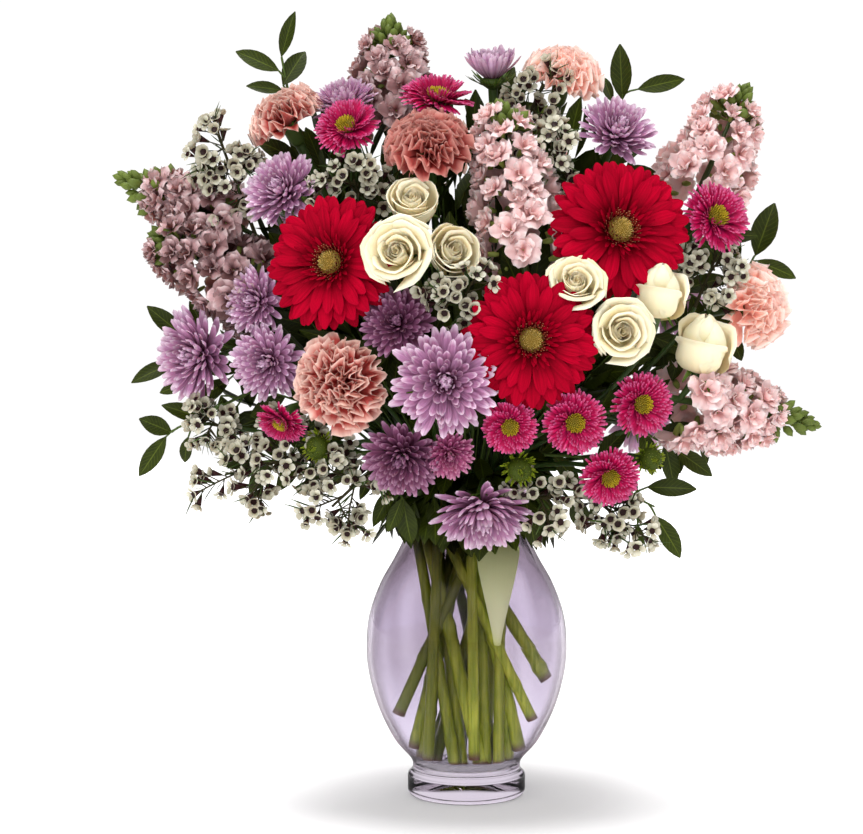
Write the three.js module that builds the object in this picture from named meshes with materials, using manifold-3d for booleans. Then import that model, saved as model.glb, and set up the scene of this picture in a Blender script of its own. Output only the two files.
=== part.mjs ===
// A mixed bouquet in a lavender glass vase: gerberas, spray roses, carnations, chrysanthemums, asters,
// stock, waxflower and dark glossy leaves, standing in water.
// Millimetres, +Z up. The origin is the middle of the vase's foot, where it stands. The front faces -Y.

import * as THREE from "three";
import { ConvexGeometry } from "three/addons/geometries/ConvexGeometry.js";
import { mergeVertices } from "three/addons/utils/BufferGeometryUtils.js";
import Module from "manifold-3d";

// Driving dimensions
const GAP = 0.3; // between pieces that touch
const FOOT = { radius: 42, height: 20 };
const BODY = { radius: 70, at: 111 };
const NECK = { radius: 44, at: 186 };
const RIM = { radius: 50, height: 207 };
const GLASS = 3.5; // thickness of the wall
const CAVITY_FLOOR = 24; // over the solid foot
const WATER_LEVEL = 113;
const FORK_HEIGHT = 226; // where the stems leave the vase and divide
const STEM = { sides: 4, twig: 1.7, twigSides: 3 };
const LEAF = { thick: 0.9, widest: 0.36 };

// Places in the bouquet are measured on the upright plane through the vase's axis, as they are seen by an
// eye in front of it. Each piece lies on that line of sight, at its own depth y.
const EYE = new THREE.Vector3(-25, -1500, 330);

const wasm = await Module();
wasm.setup();

const v = (x, y, z) => new THREE.Vector3(x, y, z);

function seenAt([x, y, z]) {
  const nearer = (y - EYE.y) / -EYE.y;
  return v(EYE.x + (x - EYE.x) * nearer, y, EYE.z + (z - EYE.z) * nearer);
}

// Random numbers between 0 and 1 that come out the same for the same seed.
function seeded(seed) {
  let state = seed;
  return () => {
    state = (state * 1664525 + 1013904223) % 4294967296;
    return state / 4294967296;
  };
}

// Solids: closed surfaces joined and cut

function solidFrom(geometry) {
  const bare = geometry.index ? geometry.toNonIndexed() : geometry.clone();
  bare.deleteAttribute("normal");
  bare.deleteAttribute("uv");
  const merged = mergeVertices(bare, 1e-3);
  return new wasm.Manifold(
    new wasm.Mesh({
      numProp: 3,
      vertProperties: merged.attributes.position.array,
      triVerts: new Uint32Array(merged.index.array),
    }),
  );
}

function geometryFrom(solid) {
  const { vertProperties, triVerts } = solid.getMesh();
  return new THREE.BufferGeometry()
    .setAttribute("position", new THREE.BufferAttribute(vertProperties, 3))
    .setIndex(new THREE.BufferAttribute(triVerts, 1));
}

// A closed surface through rings of points, with a single point at each end. A ring is its points and the
// part of a turn at which they start, so that rings with different numbers of points fit together.
function ringGeometry(rings, start, end) {
  const points = [start, ...rings.flatMap((ring) => ring.points), end];
  const faces = [];
  let first = 1;
  rings.forEach((ring, level) => {
    const next = first + ring.points.length;
    if (level + 1 < rings.length) faces.push(...bandFaces(ring, first, rings[level + 1], next));
    ring.points.forEach((_, i) => {
      const after = first + ((i + 1) % ring.points.length);
      if (level === 0) faces.push(0, after, first + i);
      if (level + 1 === rings.length) faces.push(points.length - 1, first + i, after);
    });
    first = next;
  });
  return new THREE.BufferGeometry().setFromPoints(points).setIndex(faces);
}

// The faces between two rings. The ring that is behind steps on; where both are level, the one with fewer
// points steps first, or each in turn, so that the faces are alike on both sides of a petal.
function bandFaces(low, lowFirst, high, highFirst) {
  const lows = low.points.length;
  const highs = high.points.length;
  const faces = [];
  let i = 0;
  let j = 0;
  while (i < lows || j < highs) {
    const ahead = low.turn + (i + 1) / lows - high.turn - (j + 1) / highs;
    const level = Math.abs(ahead) < 1e-6;
    const lowSteps = level ? lows < highs || (lows === highs && i % 2 === 0) : ahead < 0;
    const a = lowFirst + (i % lows);
    const b = highFirst + (j % highs);
    if (lowSteps) faces.push(a, lowFirst + (++i % lows), b);
    else faces.push(a, highFirst + (++j % highs), b);
  }
  return faces;
}

// The hull of a head, a little larger than life, which its neighbours keep clear of.
function clearanceOf(geometry, swell) {
  const position = geometry.attributes.position;
  const points = Array.from({ length: position.count }, (_, i) =>
    new THREE.Vector3().fromBufferAttribute(position, i),
  );
  const middle = new THREE.Box3().setFromPoints(points).getCenter(v(0, 0, 0));
  const hull = new ConvexGeometry(points);
  hull.translate(-middle.x, -middle.y, -middle.z).scale(swell, swell, swell);
  return solidFrom(hull.translate(middle.x, middle.y, middle.z));
}

const joined = (solids) => solids.reduce((whole, one) => whole.add(one));

// The largest body of a solid: scraps that a cut leaves are dropped, and hollows are filled.
function largest(solid) {
  return solid.decompose().reduce((a, b) => (b.volume() > a.volume() ? b : a));
}

// A round tube through points, with a radius at each.
function tube(points, radii, sides) {
  let across = v(0.31, 0.95, 0.05);
  const rings = points.map((point, i) => {
    const along = points[Math.min(i + 1, points.length - 1)]
      .clone()
      .sub(points[Math.max(i - 1, 0)])
      .normalize();
    across = across.clone().addScaledVector(along, -across.dot(along)).normalize();
    const up = along.clone().cross(across);
    const corners = Array.from({ length: sides }, (_, side) => {
      const turn = (side / sides) * 2 * Math.PI;
      return point
        .clone()
        .addScaledVector(across, radii[i] * Math.cos(turn))
        .addScaledVector(up, radii[i] * Math.sin(turn));
    });
    return { points: corners, turn: 0 };
  });
  return solidFrom(ringGeometry(rings, points[0], points.at(-1)));
}

// The vase: a solid foot, an egg-shaped body, a neck and a flared rim, turned in one piece of glass

const VASE_OUTLINE = [
  [0, 0],
  [FOOT.radius - 3, 0],
  [FOOT.radius, 3],
  [FOOT.radius, FOOT.height - 5],
  [FOOT.radius - 4, FOOT.height],
  [FOOT.radius - 2, 27],
  [52, 41],
  [63, 65],
  [69, 90],
  [BODY.radius, BODY.at],
  [67.5, 131],
  [60, 152],
  [50, 171],
  [NECK.radius, NECK.at],
  [45, 195],
  [RIM.radius - 0.6, RIM.height - 1],
];

// How far the inner wall lies from the axis at a height.
function cavityRadius(height) {
  const next = VASE_OUTLINE.findIndex(([, z], i) => i > 5 && z >= height);
  const [r0, z0] = VASE_OUTLINE[next - 1];
  const [r1, z1] = VASE_OUTLINE[next];
  return THREE.MathUtils.mapLinear(height, z0, z1, r0, r1) - GLASS;
}

function lathe(profile, segments) {
  const points = profile.map(([r, z]) => new THREE.Vector2(r, z));
  return new THREE.LatheGeometry(points, segments).rotateX(Math.PI / 2);
}

const VASE_SEGMENTS = 24;
const INNER_HEIGHTS = [190, 171, 152, 131, 111, 65, 44];
const CAVITY_BOWL = { bend: [34, 30], flat: 26 }; // where the inner wall turns in to the floor

function vaseSolid() {
  const inner = INNER_HEIGHTS.map((z) => [cavityRadius(z), z]);
  const profile = [
    ...VASE_OUTLINE,
    [RIM.radius - GLASS, RIM.height],
    ...inner,
    CAVITY_BOWL.bend,
    [CAVITY_BOWL.flat, CAVITY_FLOOR],
    [0, CAVITY_FLOOR],
  ];
  return solidFrom(lathe(profile, VASE_SEGMENTS));
}

// The water follows the cavity, up to its level.
function waterBody() {
  const walls = [44, 65, 111, WATER_LEVEL].map((z) => [cavityRadius(z) - GAP, z]);
  const floor = CAVITY_FLOOR + GAP;
  const [bendRadius, bendHeight] = CAVITY_BOWL.bend;
  const bowl = [[0, floor], [CAVITY_BOWL.flat - GAP, floor], [bendRadius - 2 * GAP, bendHeight]];
  return solidFrom(lathe([...bowl, ...walls, [0, WATER_LEVEL]], VASE_SEGMENTS));
}

// The heads of flowers, each one closed surface of rings in units of its own radius. It faces +Z with its
// widest ring at z = 0. A ring of petals has tips and the notches between them, and each layer's tips stand
// over the notches of the layer below. A seat is the valley between two layers, with half as many points.

const seat = (r, z) => ({ tip: [r, z] });
const petals = (r, z, notchR, notchZ, shift) => ({ tip: [r, z], notch: [notchR, notchZ], shift });

const HEADS = {
  gerbera: {
    sides: 28,
    swell: 1.05,
    rings: [
      seat(0.14, -0.22),
      petals(1, -0.02, 0.74, -0.03, 0),
      seat(0.64, 0.03),
      petals(0.8, 0.12, 0.6, 0.07, 1),
      seat(0.27, 0.04),
    ],
    top: 0.04,
  },
  rose: {
    sides: 10,
    swell: 1.03,
    rings: [
      seat(0.2, -0.85),
      seat(0.72, -0.5),
      petals(1, 0, 0.86, 0.12, 0),
      seat(0.72, 0.08),
      petals(0.7, 0.4, 0.6, 0.3, 1),
      seat(0.44, 0.3),
      petals(0.4, 0.55, 0.3, 0.46, 0),
    ],
    top: 0.36,
  },
  carnation: {
    sides: 14,
    swell: 1.03,
    ruffle: 0.07,
    rings: [
      seat(0.18, -0.8),
      petals(1, 0, 0.78, -0.06, 0),
      seat(0.68, 0.1),
      petals(0.78, 0.34, 0.56, 0.26, 1),
      seat(0.4, 0.3),
      petals(0.42, 0.56, 0.24, 0.42, 0),
    ],
    top: 0.36,
  },
  chrysanthemum: {
    sides: 14,
    swell: 1.03,
    rings: [
      seat(0.16, -0.34),
      petals(1, 0, 0.66, -0.02, 0),
      seat(0.62, 0.08),
      petals(0.8, 0.26, 0.52, 0.18, 1),
      seat(0.42, 0.26),
      petals(0.46, 0.48, 0.24, 0.36, 0),
    ],
    top: 0.34,
  },
  aster: {
    sides: 14,
    swell: 1.03,
    rings: [
      seat(0.2, -0.34),
      petals(1, 0, 0.72, -0.03, 0),
      seat(0.66, 0.08),
      petals(0.78, 0.24, 0.56, 0.16, 1),
      seat(0.34, 0.16),
    ],
    top: 0.22,
  },
};

const BUD = {
  sides: 10,
  rings: [seat(0.4, -0.8), petals(1, 0, 0.78, -0.1, 0), seat(0.7, 0.35), petals(0.56, 0.75, 0.4, 0.6, 1)],
  top: 0.5,
};
const GERBERA_DISC = {
  sides: 12,
  rings: [seat(0.23, 0), petals(0.25, 0.05, 0.21, 0.05, 0), seat(0.1, 0.08)],
  top: 0.06,
};

// The points of one ring of a head or spike, at a height along it.
function petalRing({ tip, notch, shift }, sides, spin, sizeAt) {
  const steps = notch ? 1 : 2;
  const first = notch ? 0 : 1;
  const points = [];
  for (let side = first; side < sides; side += steps) {
    const [r, z] = notch && (side + shift) % 2 ? notch : tip;
    const turn = spin + (side / sides) * 2 * Math.PI;
    const { wide, high } = sizeAt();
    points.push(v(r * wide * Math.cos(turn), r * wide * Math.sin(turn), z * high));
  }
  return { points, turn: first / sides };
}

function headRings(kind, radius, seed) {
  const random = seeded(seed);
  const spin = random() * 2 * Math.PI;
  const ruffle = kind.ruffle ?? 0;
  return kind.rings.map((ring) =>
    petalRing(ring, kind.sides, spin, () => ({
      wide: radius * (ring.notch ? 1 + (random() - 0.5) * 2 * ruffle : 1),
      high: radius,
    })),
  );
}

// A head placed with its widest ring round a point, facing along a direction.
function headGeometry(kind, middle, facing, radius, seed) {
  const rings = headRings(kind, radius, seed);
  const start = v(0, 0, rings[0].points[0].z);
  const geometry = ringGeometry(rings, start, v(0, 0, kind.top * radius));
  const turn = new THREE.Quaternion().setFromUnitVectors(v(0, 0, 1), facing);
  return geometry.applyQuaternion(turn).translate(middle.x, middle.y, middle.z);
}

// Every head in the bouquet: node, kind, where it is seen, the direction that it faces and its diameter.
// Heads that share a node grow together as one spray.

const FRONT_HEADS = [
  ["gerbera_left", "gerbera", [-97, -112, 380], [-0.35, -0.92, 0.15], 92],
  ["gerbera_right", "gerbera", [109, -104, 403], [0.22, -0.95, 0.22], 98],
  ["gerbera_centre", "gerbera", [46, -136, 325], [0.1, -0.99, 0.05], 90],
  ["rose_spray", "rose", [-38, -104, 424], [-0.05, -0.8, 0.55], 36],
  ["rose_spray", "rose", [-50, -122, 388], [-0.25, -0.95, 0.2], 46],
  ["rose_spray", "rose", [-9, -116, 388], [0.25, -0.95, 0.25], 36],
  ["rose_inner", "rose", [80, -100, 368], [0, -0.8, 0.6], 40],
  ["rose_bud", "rose", [137, -106, 364], [0.2, -0.8, 0.5], 36],
  ["rose_open", "rose", [110, -124, 331], [0.15, -0.95, 0.1], 42],
  ["rose_right", "rose", [168, -84, 326], [0.4, -0.8, 0.4], 42],
  ["aster_upper_left", "aster", [-85, -72, 476], [-0.25, -0.8, 0.5], 46],
  ["aster_top", "aster", [-21, -52, 497], [0.05, -0.5, 0.85], 52],
  ["aster_right", "aster", [177, -58, 412], [0.5, -0.7, 0.5], 48],
  ["aster_centre", "aster", [31, -132, 263], [0, -0.98, -0.15], 38],
  ["aster_middle", "aster", [77, -126, 266], [0.1, -0.97, -0.1], 44],
  ["aster_outer", "aster", [125, -108, 279], [0.25, -0.95, 0], 44],
  ["aster_lower", "aster", [102, -104, 227], [0.15, -0.95, -0.3], 42],
  ["aster_lower_left", "aster", [-132, -84, 266], [-0.4, -0.75, -0.5], 34],
  ["mum_spray_front", "chrysanthemum", [-15, -138, 295], [0, -1, 0.02], 76],
  ["mum_spray_front", "chrysanthemum", [-49, -116, 337], [-0.15, -0.95, 0.25], 52],
  ["mum_spray_front", "chrysanthemum", [-46, -114, 241], [-0.2, -0.9, -0.35], 58],
  ["mum_spray_front", "chrysanthemum", [-12, -118, 243], [0.1, -0.95, -0.3], 36],
  ["mum_over_rim", "chrysanthemum", [11, -86, 202], [0.05, -0.62, -0.78], 74],
  ["mum_spray_left", "chrysanthemum", [-192, -48, 314], [-0.6, -0.8, 0], 72],
  ["mum_spray_left", "chrysanthemum", [-141, -80, 309], [-0.3, -0.9, -0.1], 56],
  ["mum_spray_left", "chrysanthemum", [-150, -72, 352], [-0.5, -0.85, 0.1], 52],
  ["mum_upper_left", "chrysanthemum", [-131, -68, 431], [-0.4, -0.8, 0.4], 60],
  ["mum_upper_right", "chrysanthemum", [107, -60, 472], [0.25, -0.75, 0.6], 60],
  ["mum_top", "chrysanthemum", [14, -24, 520], [-0.05, -0.35, 0.93], 44],
  ["mum_top_left", "chrysanthemum", [-87, -34, 495], [-0.2, -0.4, 0.9], 48],
  ["carnation_front", "carnation", [-90, -112, 293], [-0.3, -0.95, -0.05], 60],
  ["carnation_upper", "carnation", [-28, -84, 463], [-0.1, -0.7, 0.65], 56],
  ["carnation_top_left", "carnation", [-129, -36, 482], [-0.45, -0.35, 0.8], 54],
  ["carnation_top_right", "carnation", [68, -24, 512], [0.15, -0.5, 0.85], 56],
  ["carnation_right", "carnation", [205, -35, 349], [0.85, -0.5, 0.1], 54],
];

const BACK_HEADS = [
  ["mum_spray_back_left", "chrysanthemum", [-112, 66, 416], [-0.4, 0.75, 0.45], 66],
  ["mum_spray_back_left", "chrysanthemum", [-142, 60, 350], [-0.6, 0.8, 0], 66],
  ["mum_spray_back_left", "chrysanthemum", [-90, 92, 352], [-0.25, 0.95, 0.1], 60],
  ["mum_spray_back_right", "chrysanthemum", [94, 90, 318], [0.25, 0.95, 0], 66],
  ["mum_spray_back_right", "chrysanthemum", [144, 58, 350], [0.6, 0.75, 0.1], 62],
  ["mum_spray_back_right", "chrysanthemum", [124, 66, 270], [0.45, 0.85, -0.3], 58],
  ["carnation_back_high", "carnation", [-24, 58, 462], [0, 0.65, 0.75], 60],
  ["carnation_back_low", "carnation", [-48, 92, 282], [-0.15, 0.95, -0.15], 60],
  ["rose_back", "rose", [8, 108, 350], [0, 1, 0.1], 46],
  ["aster_back_high", "aster", [98, 52, 436], [0.35, 0.7, 0.6], 48],
  ["aster_back_low", "aster", [22, 96, 266], [0.1, 0.95, -0.3], 46],
];

// Green aster buds, still shut in their bracts, each on a twig of the stems.
const BUDS = [
  [[-107, -92, 248], [-0.35, -0.85, -0.2], 26],
  [[38, -108, 232], [0.1, -0.95, -0.2], 26],
  [[132, -88, 240], [0.35, -0.9, -0.1], 24],
];

// Stock: a spike of florets in whorls round its own stem, from the lowest floret to the green tip.
const STOCKS = [
  ["stock_left_high", [-160, -28, 410], [-246, -14, 446], 42],
  ["stock_left_low", [-140, -40, 352], [-224, -36, 402], 64],
  ["stock_top", [-52, -8, 474], [-56, -4, 546], 56],
  ["stock_front", [42, -96, 372], [22, -66, 496], 60],
  ["stock_top_right", [158, -24, 428], [199, -14, 506], 60],
  ["stock_right_low", [148, -62, 288], [252, -34, 268], 56],
  ["stock_back", [40, 50, 396], [54, 58, 494], 56],
];

// Waxflower: small white flowers on thin side twigs round a main twig, from its foot to its tip.
const WAXFLOWERS = [
  ["waxflower_left_high", [-150, -36, 400], [-188, -44, 478], 26, 6],
  ["waxflower_left_low", [-78, -84, 252], [-186, -64, 212], 34, 9],
  ["waxflower_centre", [0, -104, 346], [-4, -128, 366], 24, 4],
  ["waxflower_upper", [-72, -62, 424], [-80, -78, 446], 20, 4],
  ["waxflower_right", [164, -50, 350], [176, -56, 386], 22, 4],
  ["waxflower_right_low", [96, -78, 205], [132, -92, 186], 26, 5],
];

// Leafy stems: dark glossy leaves in two rows along a twig, the last one at its tip.
const LEAFY_STEMS = [
  ["leaves_top_left", [-120, 6, 470], [-128, 0, 536], 36, 5],
  ["leaves_top_right", [100, 14, 470], [122, 6, 524], 38, 4],
  ["leaves_right", [190, 6, 366], [214, 0, 416], 38, 4],
  ["leaves_left", [-150, -20, 290], [-222, -20, 262], 38, 6],
  ["leaves_right_low", [84, -40, 228], [146, -58, 190], 38, 6],
];

// The stems in the vase, each from its cut end through the neck, with its thickness.
const STEMS = [
  { foot: [8, -16, 31], neck: [-26, -14], radius: 3.8 },
  { foot: [37, -16, 54], neck: [-15, -22], radius: 3 },
  { foot: [53, 10, 83], neck: [-7, 9], radius: 3.6 },
  { foot: [5, -22, 36], neck: [3, -24], radius: 3 },
  { foot: [11.5, -14.5, 29], neck: [9, -10], radius: 3.2 },
  { foot: [25, -5, 31], neck: [16, -26], radius: 3 },
  { foot: [11, 13, 29], neck: [25, 8], radius: 3.4 },
  { foot: [-10, -15, 29], neck: [-33, -6], radius: 3.2 },
  { foot: [-40, -12, 63], neck: [8, -20], radius: 3 },
  { foot: [-27, -6, 31], neck: [-8, 14], radius: 3.8 },
  { foot: [-20, 8, 29], neck: [20, -12], radius: 3.2 },
  { foot: [-3, -8, 28], neck: [-22, 12], radius: 3.4 },
  { foot: [-8, 20, 30], neck: [31, -8], radius: 3 },
  { foot: [21, 10, 30], neck: [-14, 27], radius: 3 },
  { foot: [-4, 21, 29], neck: [8, 28], radius: 3.2 },
  { foot: [-24, 18, 36], neck: [26, 22], radius: 3 },
];

const unit = ([x, y, z]) => v(x, y, z).normalize();

// The cup behind a single head is the widened end of its stem.
const CUP = { gerbera: 6, rose: 4.2, carnation: 4.6, chrysanthemum: 4.4, aster: 4 };
const SPRAY = { depth: 26, sunk: 4 };

const heads = [...FRONT_HEADS, ...BACK_HEADS].map(([node, kindName, at, faces, across], i) => {
  const kind = HEADS[kindName];
  const facing = unit(faces);
  const middle = seenAt(at);
  const radius = across / 2;
  const base = middle.clone().addScaledVector(facing, kind.rings[0].tip[1] * radius);
  const geometry = headGeometry(kind, middle, facing, radius, 11 + i);
  return { node, kindName, kind, facing, middle, radius, base, geometry };
});

// Blooms of one kind that grow on one stem are a spray: their side stalks meet behind them.
const blooms = [...new Set(heads.map(({ node }) => node))].map((node) => {
  const members = heads.filter((head) => head.node === node);
  const { kindName, kind } = members[0];
  const facing = members.reduce((sum, head) => sum.add(head.facing), v(0, 0, 0)).normalize();
  const base = members.reduce((sum, head) => sum.add(head.base), v(0, 0, 0));
  base.divideScalar(members.length);
  if (members.length > 1) base.addScaledVector(facing, -SPRAY.depth);
  const stalks = members.length > 1 ? members.map((head) => sideStalk(base, head, facing)) : [];
  const cup = members.length > 1 ? STEM.twig : CUP[kindName];
  const back = base.clone().addScaledVector(facing, -GAP);
  return { node, kindName, kind, facing, members, stalks, cup, back };
});

function sideStalk(joint, { base, facing }, sprayFacing) {
  const root = joint.clone().addScaledVector(sprayFacing, SPRAY.sunk / 3);
  const bend = base.clone().addScaledVector(facing, -SPRAY.depth * 0.4);
  const end = base.clone().addScaledVector(facing, SPRAY.sunk);
  return tube([root, bend, end], [STEM.twig, STEM.twig, STEM.twig], STEM.twigSides);
}

const buds = BUDS.map(([at, faces, across], i) => {
  const facing = unit(faces);
  const middle = seenAt(at);
  const geometry = headGeometry(BUD, middle, facing, across / 2, 90 + i);
  return { facing, back: middle, geometry, cup: STEM.twig };
});

const spikes = [...STOCKS, ...WAXFLOWERS, ...LEAFY_STEMS].map(([node, from, to, size, count]) => {
  const start = seenAt(from);
  const end = seenAt(to);
  const facing = end.clone().sub(start).normalize();
  const back = start.clone().addScaledVector(facing, -GAP);
  return { node, start, end, facing, size, count, back, cup: STEM.twig };
});

// The stems, forking over the rim into a twig for every head and spray. A twig leaves its stem upwards,
// swings out and meets the head square on, where it widens into the cup.

const stemPaths = STEMS.map(({ foot, neck, radius }) => ({
  points: [v(...foot), v(neck[0], neck[1], NECK.at)],
  fork: v(neck[0] * 1.2, neck[1] * 1.2, FORK_HEIGHT),
  radius,
}));

// A twig rises from the fork of a stem, swings out and meets what it carries square on.
function twigPoints(fork, { back, facing }) {
  const reach = back.distanceTo(fork);
  const before = back.clone().addScaledVector(facing, -0.35 * reach);
  const after = fork.clone().lerp(v(0, 0, FORK_HEIGHT + 0.4 * reach), 0.25);
  const curve = new THREE.CubicBezierCurve3(fork, after, before, back);
  return [curve.getPoint(0.42), curve.getPoint(0.86), back];
}

// Each stem goes on into the twig of the first bloom or spray nearest to its fork, and the others that are
// near it branch off there.
function stemBunch(swell) {
  const carried = new Set();
  const thin = STEM.twig + swell * 2;
  const tubes = [...blooms, ...spikes, ...buds].map((one, i) => {
    const far = ({ fork }) => fork.distanceTo(one.back);
    const stem = stemPaths.reduce((a, b) => (far(b) < far(a) ? b : a));
    const twig = twigPoints(stem.fork, one);
    const radii = [thin, thin, one.cup + swell * 2];
    const root = stem.fork.clone().lerp(stem.points[1], 0.1 + 0.12 * (i % 5));
    if (carried.has(stem)) return tube([root, ...twig], [thin, ...radii], STEM.twigSides);
    carried.add(stem);
    const wide = stem.radius + swell * 1.5;
    return tube([...stem.points, stem.fork, ...twig], [wide, wide, wide * 0.7, ...radii], STEM.sides);
  });
  const bare = stemPaths.filter((stem) => !carried.has(stem)).map(({ points, fork, radius }) => {
    const wide = radius + swell * 1.5;
    return tube([...points, fork], [wide, wide, wide * 0.7], STEM.sides);
  });
  const shut = buds.map(({ geometry }) => (swell ? clearanceOf(geometry, 1.05) : solidFrom(geometry)));
  return joined([...tubes, ...bare, ...shut]);
}

const STOCK = { sides: 10, whorlHeight: 18 };

// Stock: whorls of florets, each whorl standing over the gaps of the one below, narrowing to the tip.
function stockGeometry({ start, end, size, facing }) {
  const length = end.distanceTo(start);
  const whorls = Math.round(length / STOCK.whorlHeight);
  const rings = [seat(0.1, 0)];
  for (let whorl = 0; whorl < whorls; whorl++) {
    const up = (whorl + 0.45) / whorls;
    const wide = 0.5 * Math.sqrt(1 - up * up * 0.9);
    rings.push(petals(wide, up, wide * 0.68, up, whorl % 2));
    rings.push(seat(wide * 0.6, up + 0.42 / whorls));
  }
  const placed = rings.map((ring) => petalRing(ring, STOCK.sides, 0, () => ({ wide: size, high: length })));
  const turn = new THREE.Quaternion().setFromUnitVectors(v(0, 0, 1), facing);
  return ringGeometry(placed, v(0, 0, 0), v(0, 0, length))
    .applyQuaternion(turn)
    .translate(start.x, start.y, start.z);
}

// One waxflower on its side twig: a flat star of five petals round a cup.
const WAX = { radius: 5.5, notch: 0.5, cup: 3, twig: 0.8 };

function waxFlower(root, middle, facing) {
  const turn = new THREE.Quaternion().setFromUnitVectors(v(0, 0, 1), facing);
  const ringAt = (centre, radii) => {
    const points = radii.map((r, i) => {
      const angle = (i / radii.length) * 2 * Math.PI;
      return v(r * Math.cos(angle), r * Math.sin(angle), 0).applyQuaternion(turn).add(centre);
    });
    return { points, turn: 0 };
  };
  const twig = [WAX.twig, WAX.twig, WAX.twig];
  const star = Array.from({ length: 10 }, (_, i) => WAX.radius * (i % 2 ? WAX.notch : 1));
  const cup = middle.clone().addScaledVector(facing, -WAX.cup);
  const rings = [ringAt(root, twig), ringAt(cup, twig), ringAt(middle, star)];
  return solidFrom(ringGeometry(rings, root, middle.clone().addScaledVector(facing, 0.8)));
}

function waxSpray({ start, end, facing, size, count }, seed) {
  const random = seeded(seed);
  const solids = [tube([start, end], [STEM.twig, WAX.twig], STEM.twigSides)];
  for (let i = 0; i < count; i++) {
    const along = (i + 0.9) / count;
    const turn = i * 2.4;
    const spread = size * (0.65 + 0.45 * random());
    const root = start.clone().lerp(end, 0.15 + 0.8 * along * 0.9);
    const out = v(Math.cos(turn), -0.35, Math.sin(turn)).normalize();
    const tip = root.clone().addScaledVector(out, spread).addScaledVector(facing, size * 0.35);
    const flowerFacing = tip.clone().sub(root).normalize().add(v(0, -0.6, 0)).normalize();
    solids.push(waxFlower(root, tip, flowerFacing));
  }
  return joined(solids);
}

// One leaf: a thin pointed blade, arched away from its face.
function leafBlade(root, along, face, length) {
  const across = face.clone().cross(along).normalize();
  const square = along.clone().cross(across).normalize();
  const section = (far, wide, drop) => {
    const middle = root.clone().addScaledVector(along, far * length);
    middle.addScaledVector(square, -drop * length);
    const corners = [[1, -1], [1, 1], [-1, 1], [-1, -1]];
    const points = corners.map(([side, top]) =>
      middle
        .clone()
        .addScaledVector(across, (side * wide * length) / 2)
        .addScaledVector(square, (top * LEAF.thick) / 2),
    );
    return { points, turn: 0 };
  };
  const tip = root.clone().addScaledVector(along, length).addScaledVector(square, -0.14 * length);
  const rings = [section(0.3, LEAF.widest, 0.01), section(0.68, LEAF.widest * 0.78, 0.06)];
  return solidFrom(ringGeometry(rings, root, tip));
}

function leafyStem({ start, end, facing, size, count }) {
  const solids = [tube([start, end], [STEM.twig, 1], STEM.twigSides)];
  const sideways = facing.clone().cross(v(0, -1, 0)).normalize();
  for (let i = 0; i < count; i++) {
    const side = i % 2 ? 1 : -1;
    const atTip = i === count - 1;
    const root = start.clone().lerp(end, 0.2 + (0.78 * i) / (count - 1));
    const along = facing.clone().addScaledVector(sideways, atTip ? 0.1 : side * 1.1);
    along.addScaledVector(v(0, -1, 0), 0.25 * ((i % 3) - 1)).normalize();
    const foot = root.clone().addScaledVector(along, -0.8);
    solids.push(leafBlade(foot, along, v(0.1 * side, -1, 0.25), size));
  }
  return joined(solids);
}

// Each node in turn, cut clear of the ones before it

const COLOURS = {
  vase: 0xcbbfe0,
  water: 0xe6e4ee,
  stems: 0x6f8a2c,
  gerbera: 0xb4001f,
  disc: 0x6b5a1e,
  rose: 0xf0e4c0,
  carnation: 0xe8897f,
  chrysanthemum: 0xc285bd,
  aster: 0xc31a70,
  stock: 0xe3b2bd,
  waxflower: 0xf0ece4,
  leaves: 0x1f4a20,
};

const bouquet = new THREE.Group();
const standing = [];

function addPiece(name, solid, colour, clearances) {
  const box = solid.boundingBox();
  const near = standing.filter((one) =>
    [0, 1, 2].every((i) => one.box.min[i] < box.max[i] && one.box.max[i] > box.min[i]),
  );
  const cut = near.reduce((rest, one) => rest.subtract(one.solid), solid);
  const material = new THREE.MeshStandardMaterial({
    color: COLOURS[colour],
    roughness: colour === "vase" || colour === "water" ? 0.05 : 0.6,
    metalness: 0,
  });
  const mesh = new THREE.Mesh(geometryFrom(largest(cut)), material);
  mesh.name = name;
  bouquet.add(mesh);
  clearances.forEach((one) => standing.push({ solid: one, box: one.boundingBox() }));
}

const stems = stemBunch(0);
const stemClearance = stemBunch(GAP);

addPiece("vase", vaseSolid(), "vase", []);
addPiece("water", waterBody().subtract(stemClearance), "water", []);
addPiece("stems", stems, "stems", [stemClearance]);

for (const kindName of ["gerbera", "rose", "aster", "chrysanthemum", "carnation"]) {
  for (const { node, kind, members, stalks } of blooms.filter((one) => one.kindName === kindName)) {
    if (kindName === "gerbera") addDisc(node.replace("gerbera", "gerbera_disc"), members[0]);
    const solid = joined([...members.map(({ geometry }) => solidFrom(geometry)), ...stalks]);
    const clear = members.map(({ geometry }) => clearanceOf(geometry, kind.swell));
    addPiece(node, solid, kindName, [...clear, ...stalks]);
  }
}

// A gerbera's disc of tiny florets rests in the flat middle of its petals.
function addDisc(name, { middle, facing, radius }) {
  const foot = middle.clone().addScaledVector(facing, HEADS.gerbera.top * radius + GAP);
  const disc = headGeometry(GERBERA_DISC, foot, facing, radius, 7);
  addPiece(name, solidFrom(disc), "disc", []);
}

const spikesOf = (list) => spikes.filter(({ node }) => list.some(([name]) => name === node));

spikesOf(STOCKS).forEach((spike) => {
  const geometry = stockGeometry(spike);
  addPiece(spike.node, solidFrom(geometry), "stock", [clearanceOf(geometry, 1.03)]);
});

spikesOf(WAXFLOWERS).forEach((spike, i) => {
  addPiece(spike.node, waxSpray(spike, 200 + i), "waxflower", []);
});

spikesOf(LEAFY_STEMS).forEach((spike) => {
  addPiece(spike.node, leafyStem(spike), "leaves", []);
});

export default bouquet;
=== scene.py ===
from math import cos, pi, radians, sin, sqrt

import bpy
import numpy as np
from mathutils import Matrix, Vector


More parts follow.
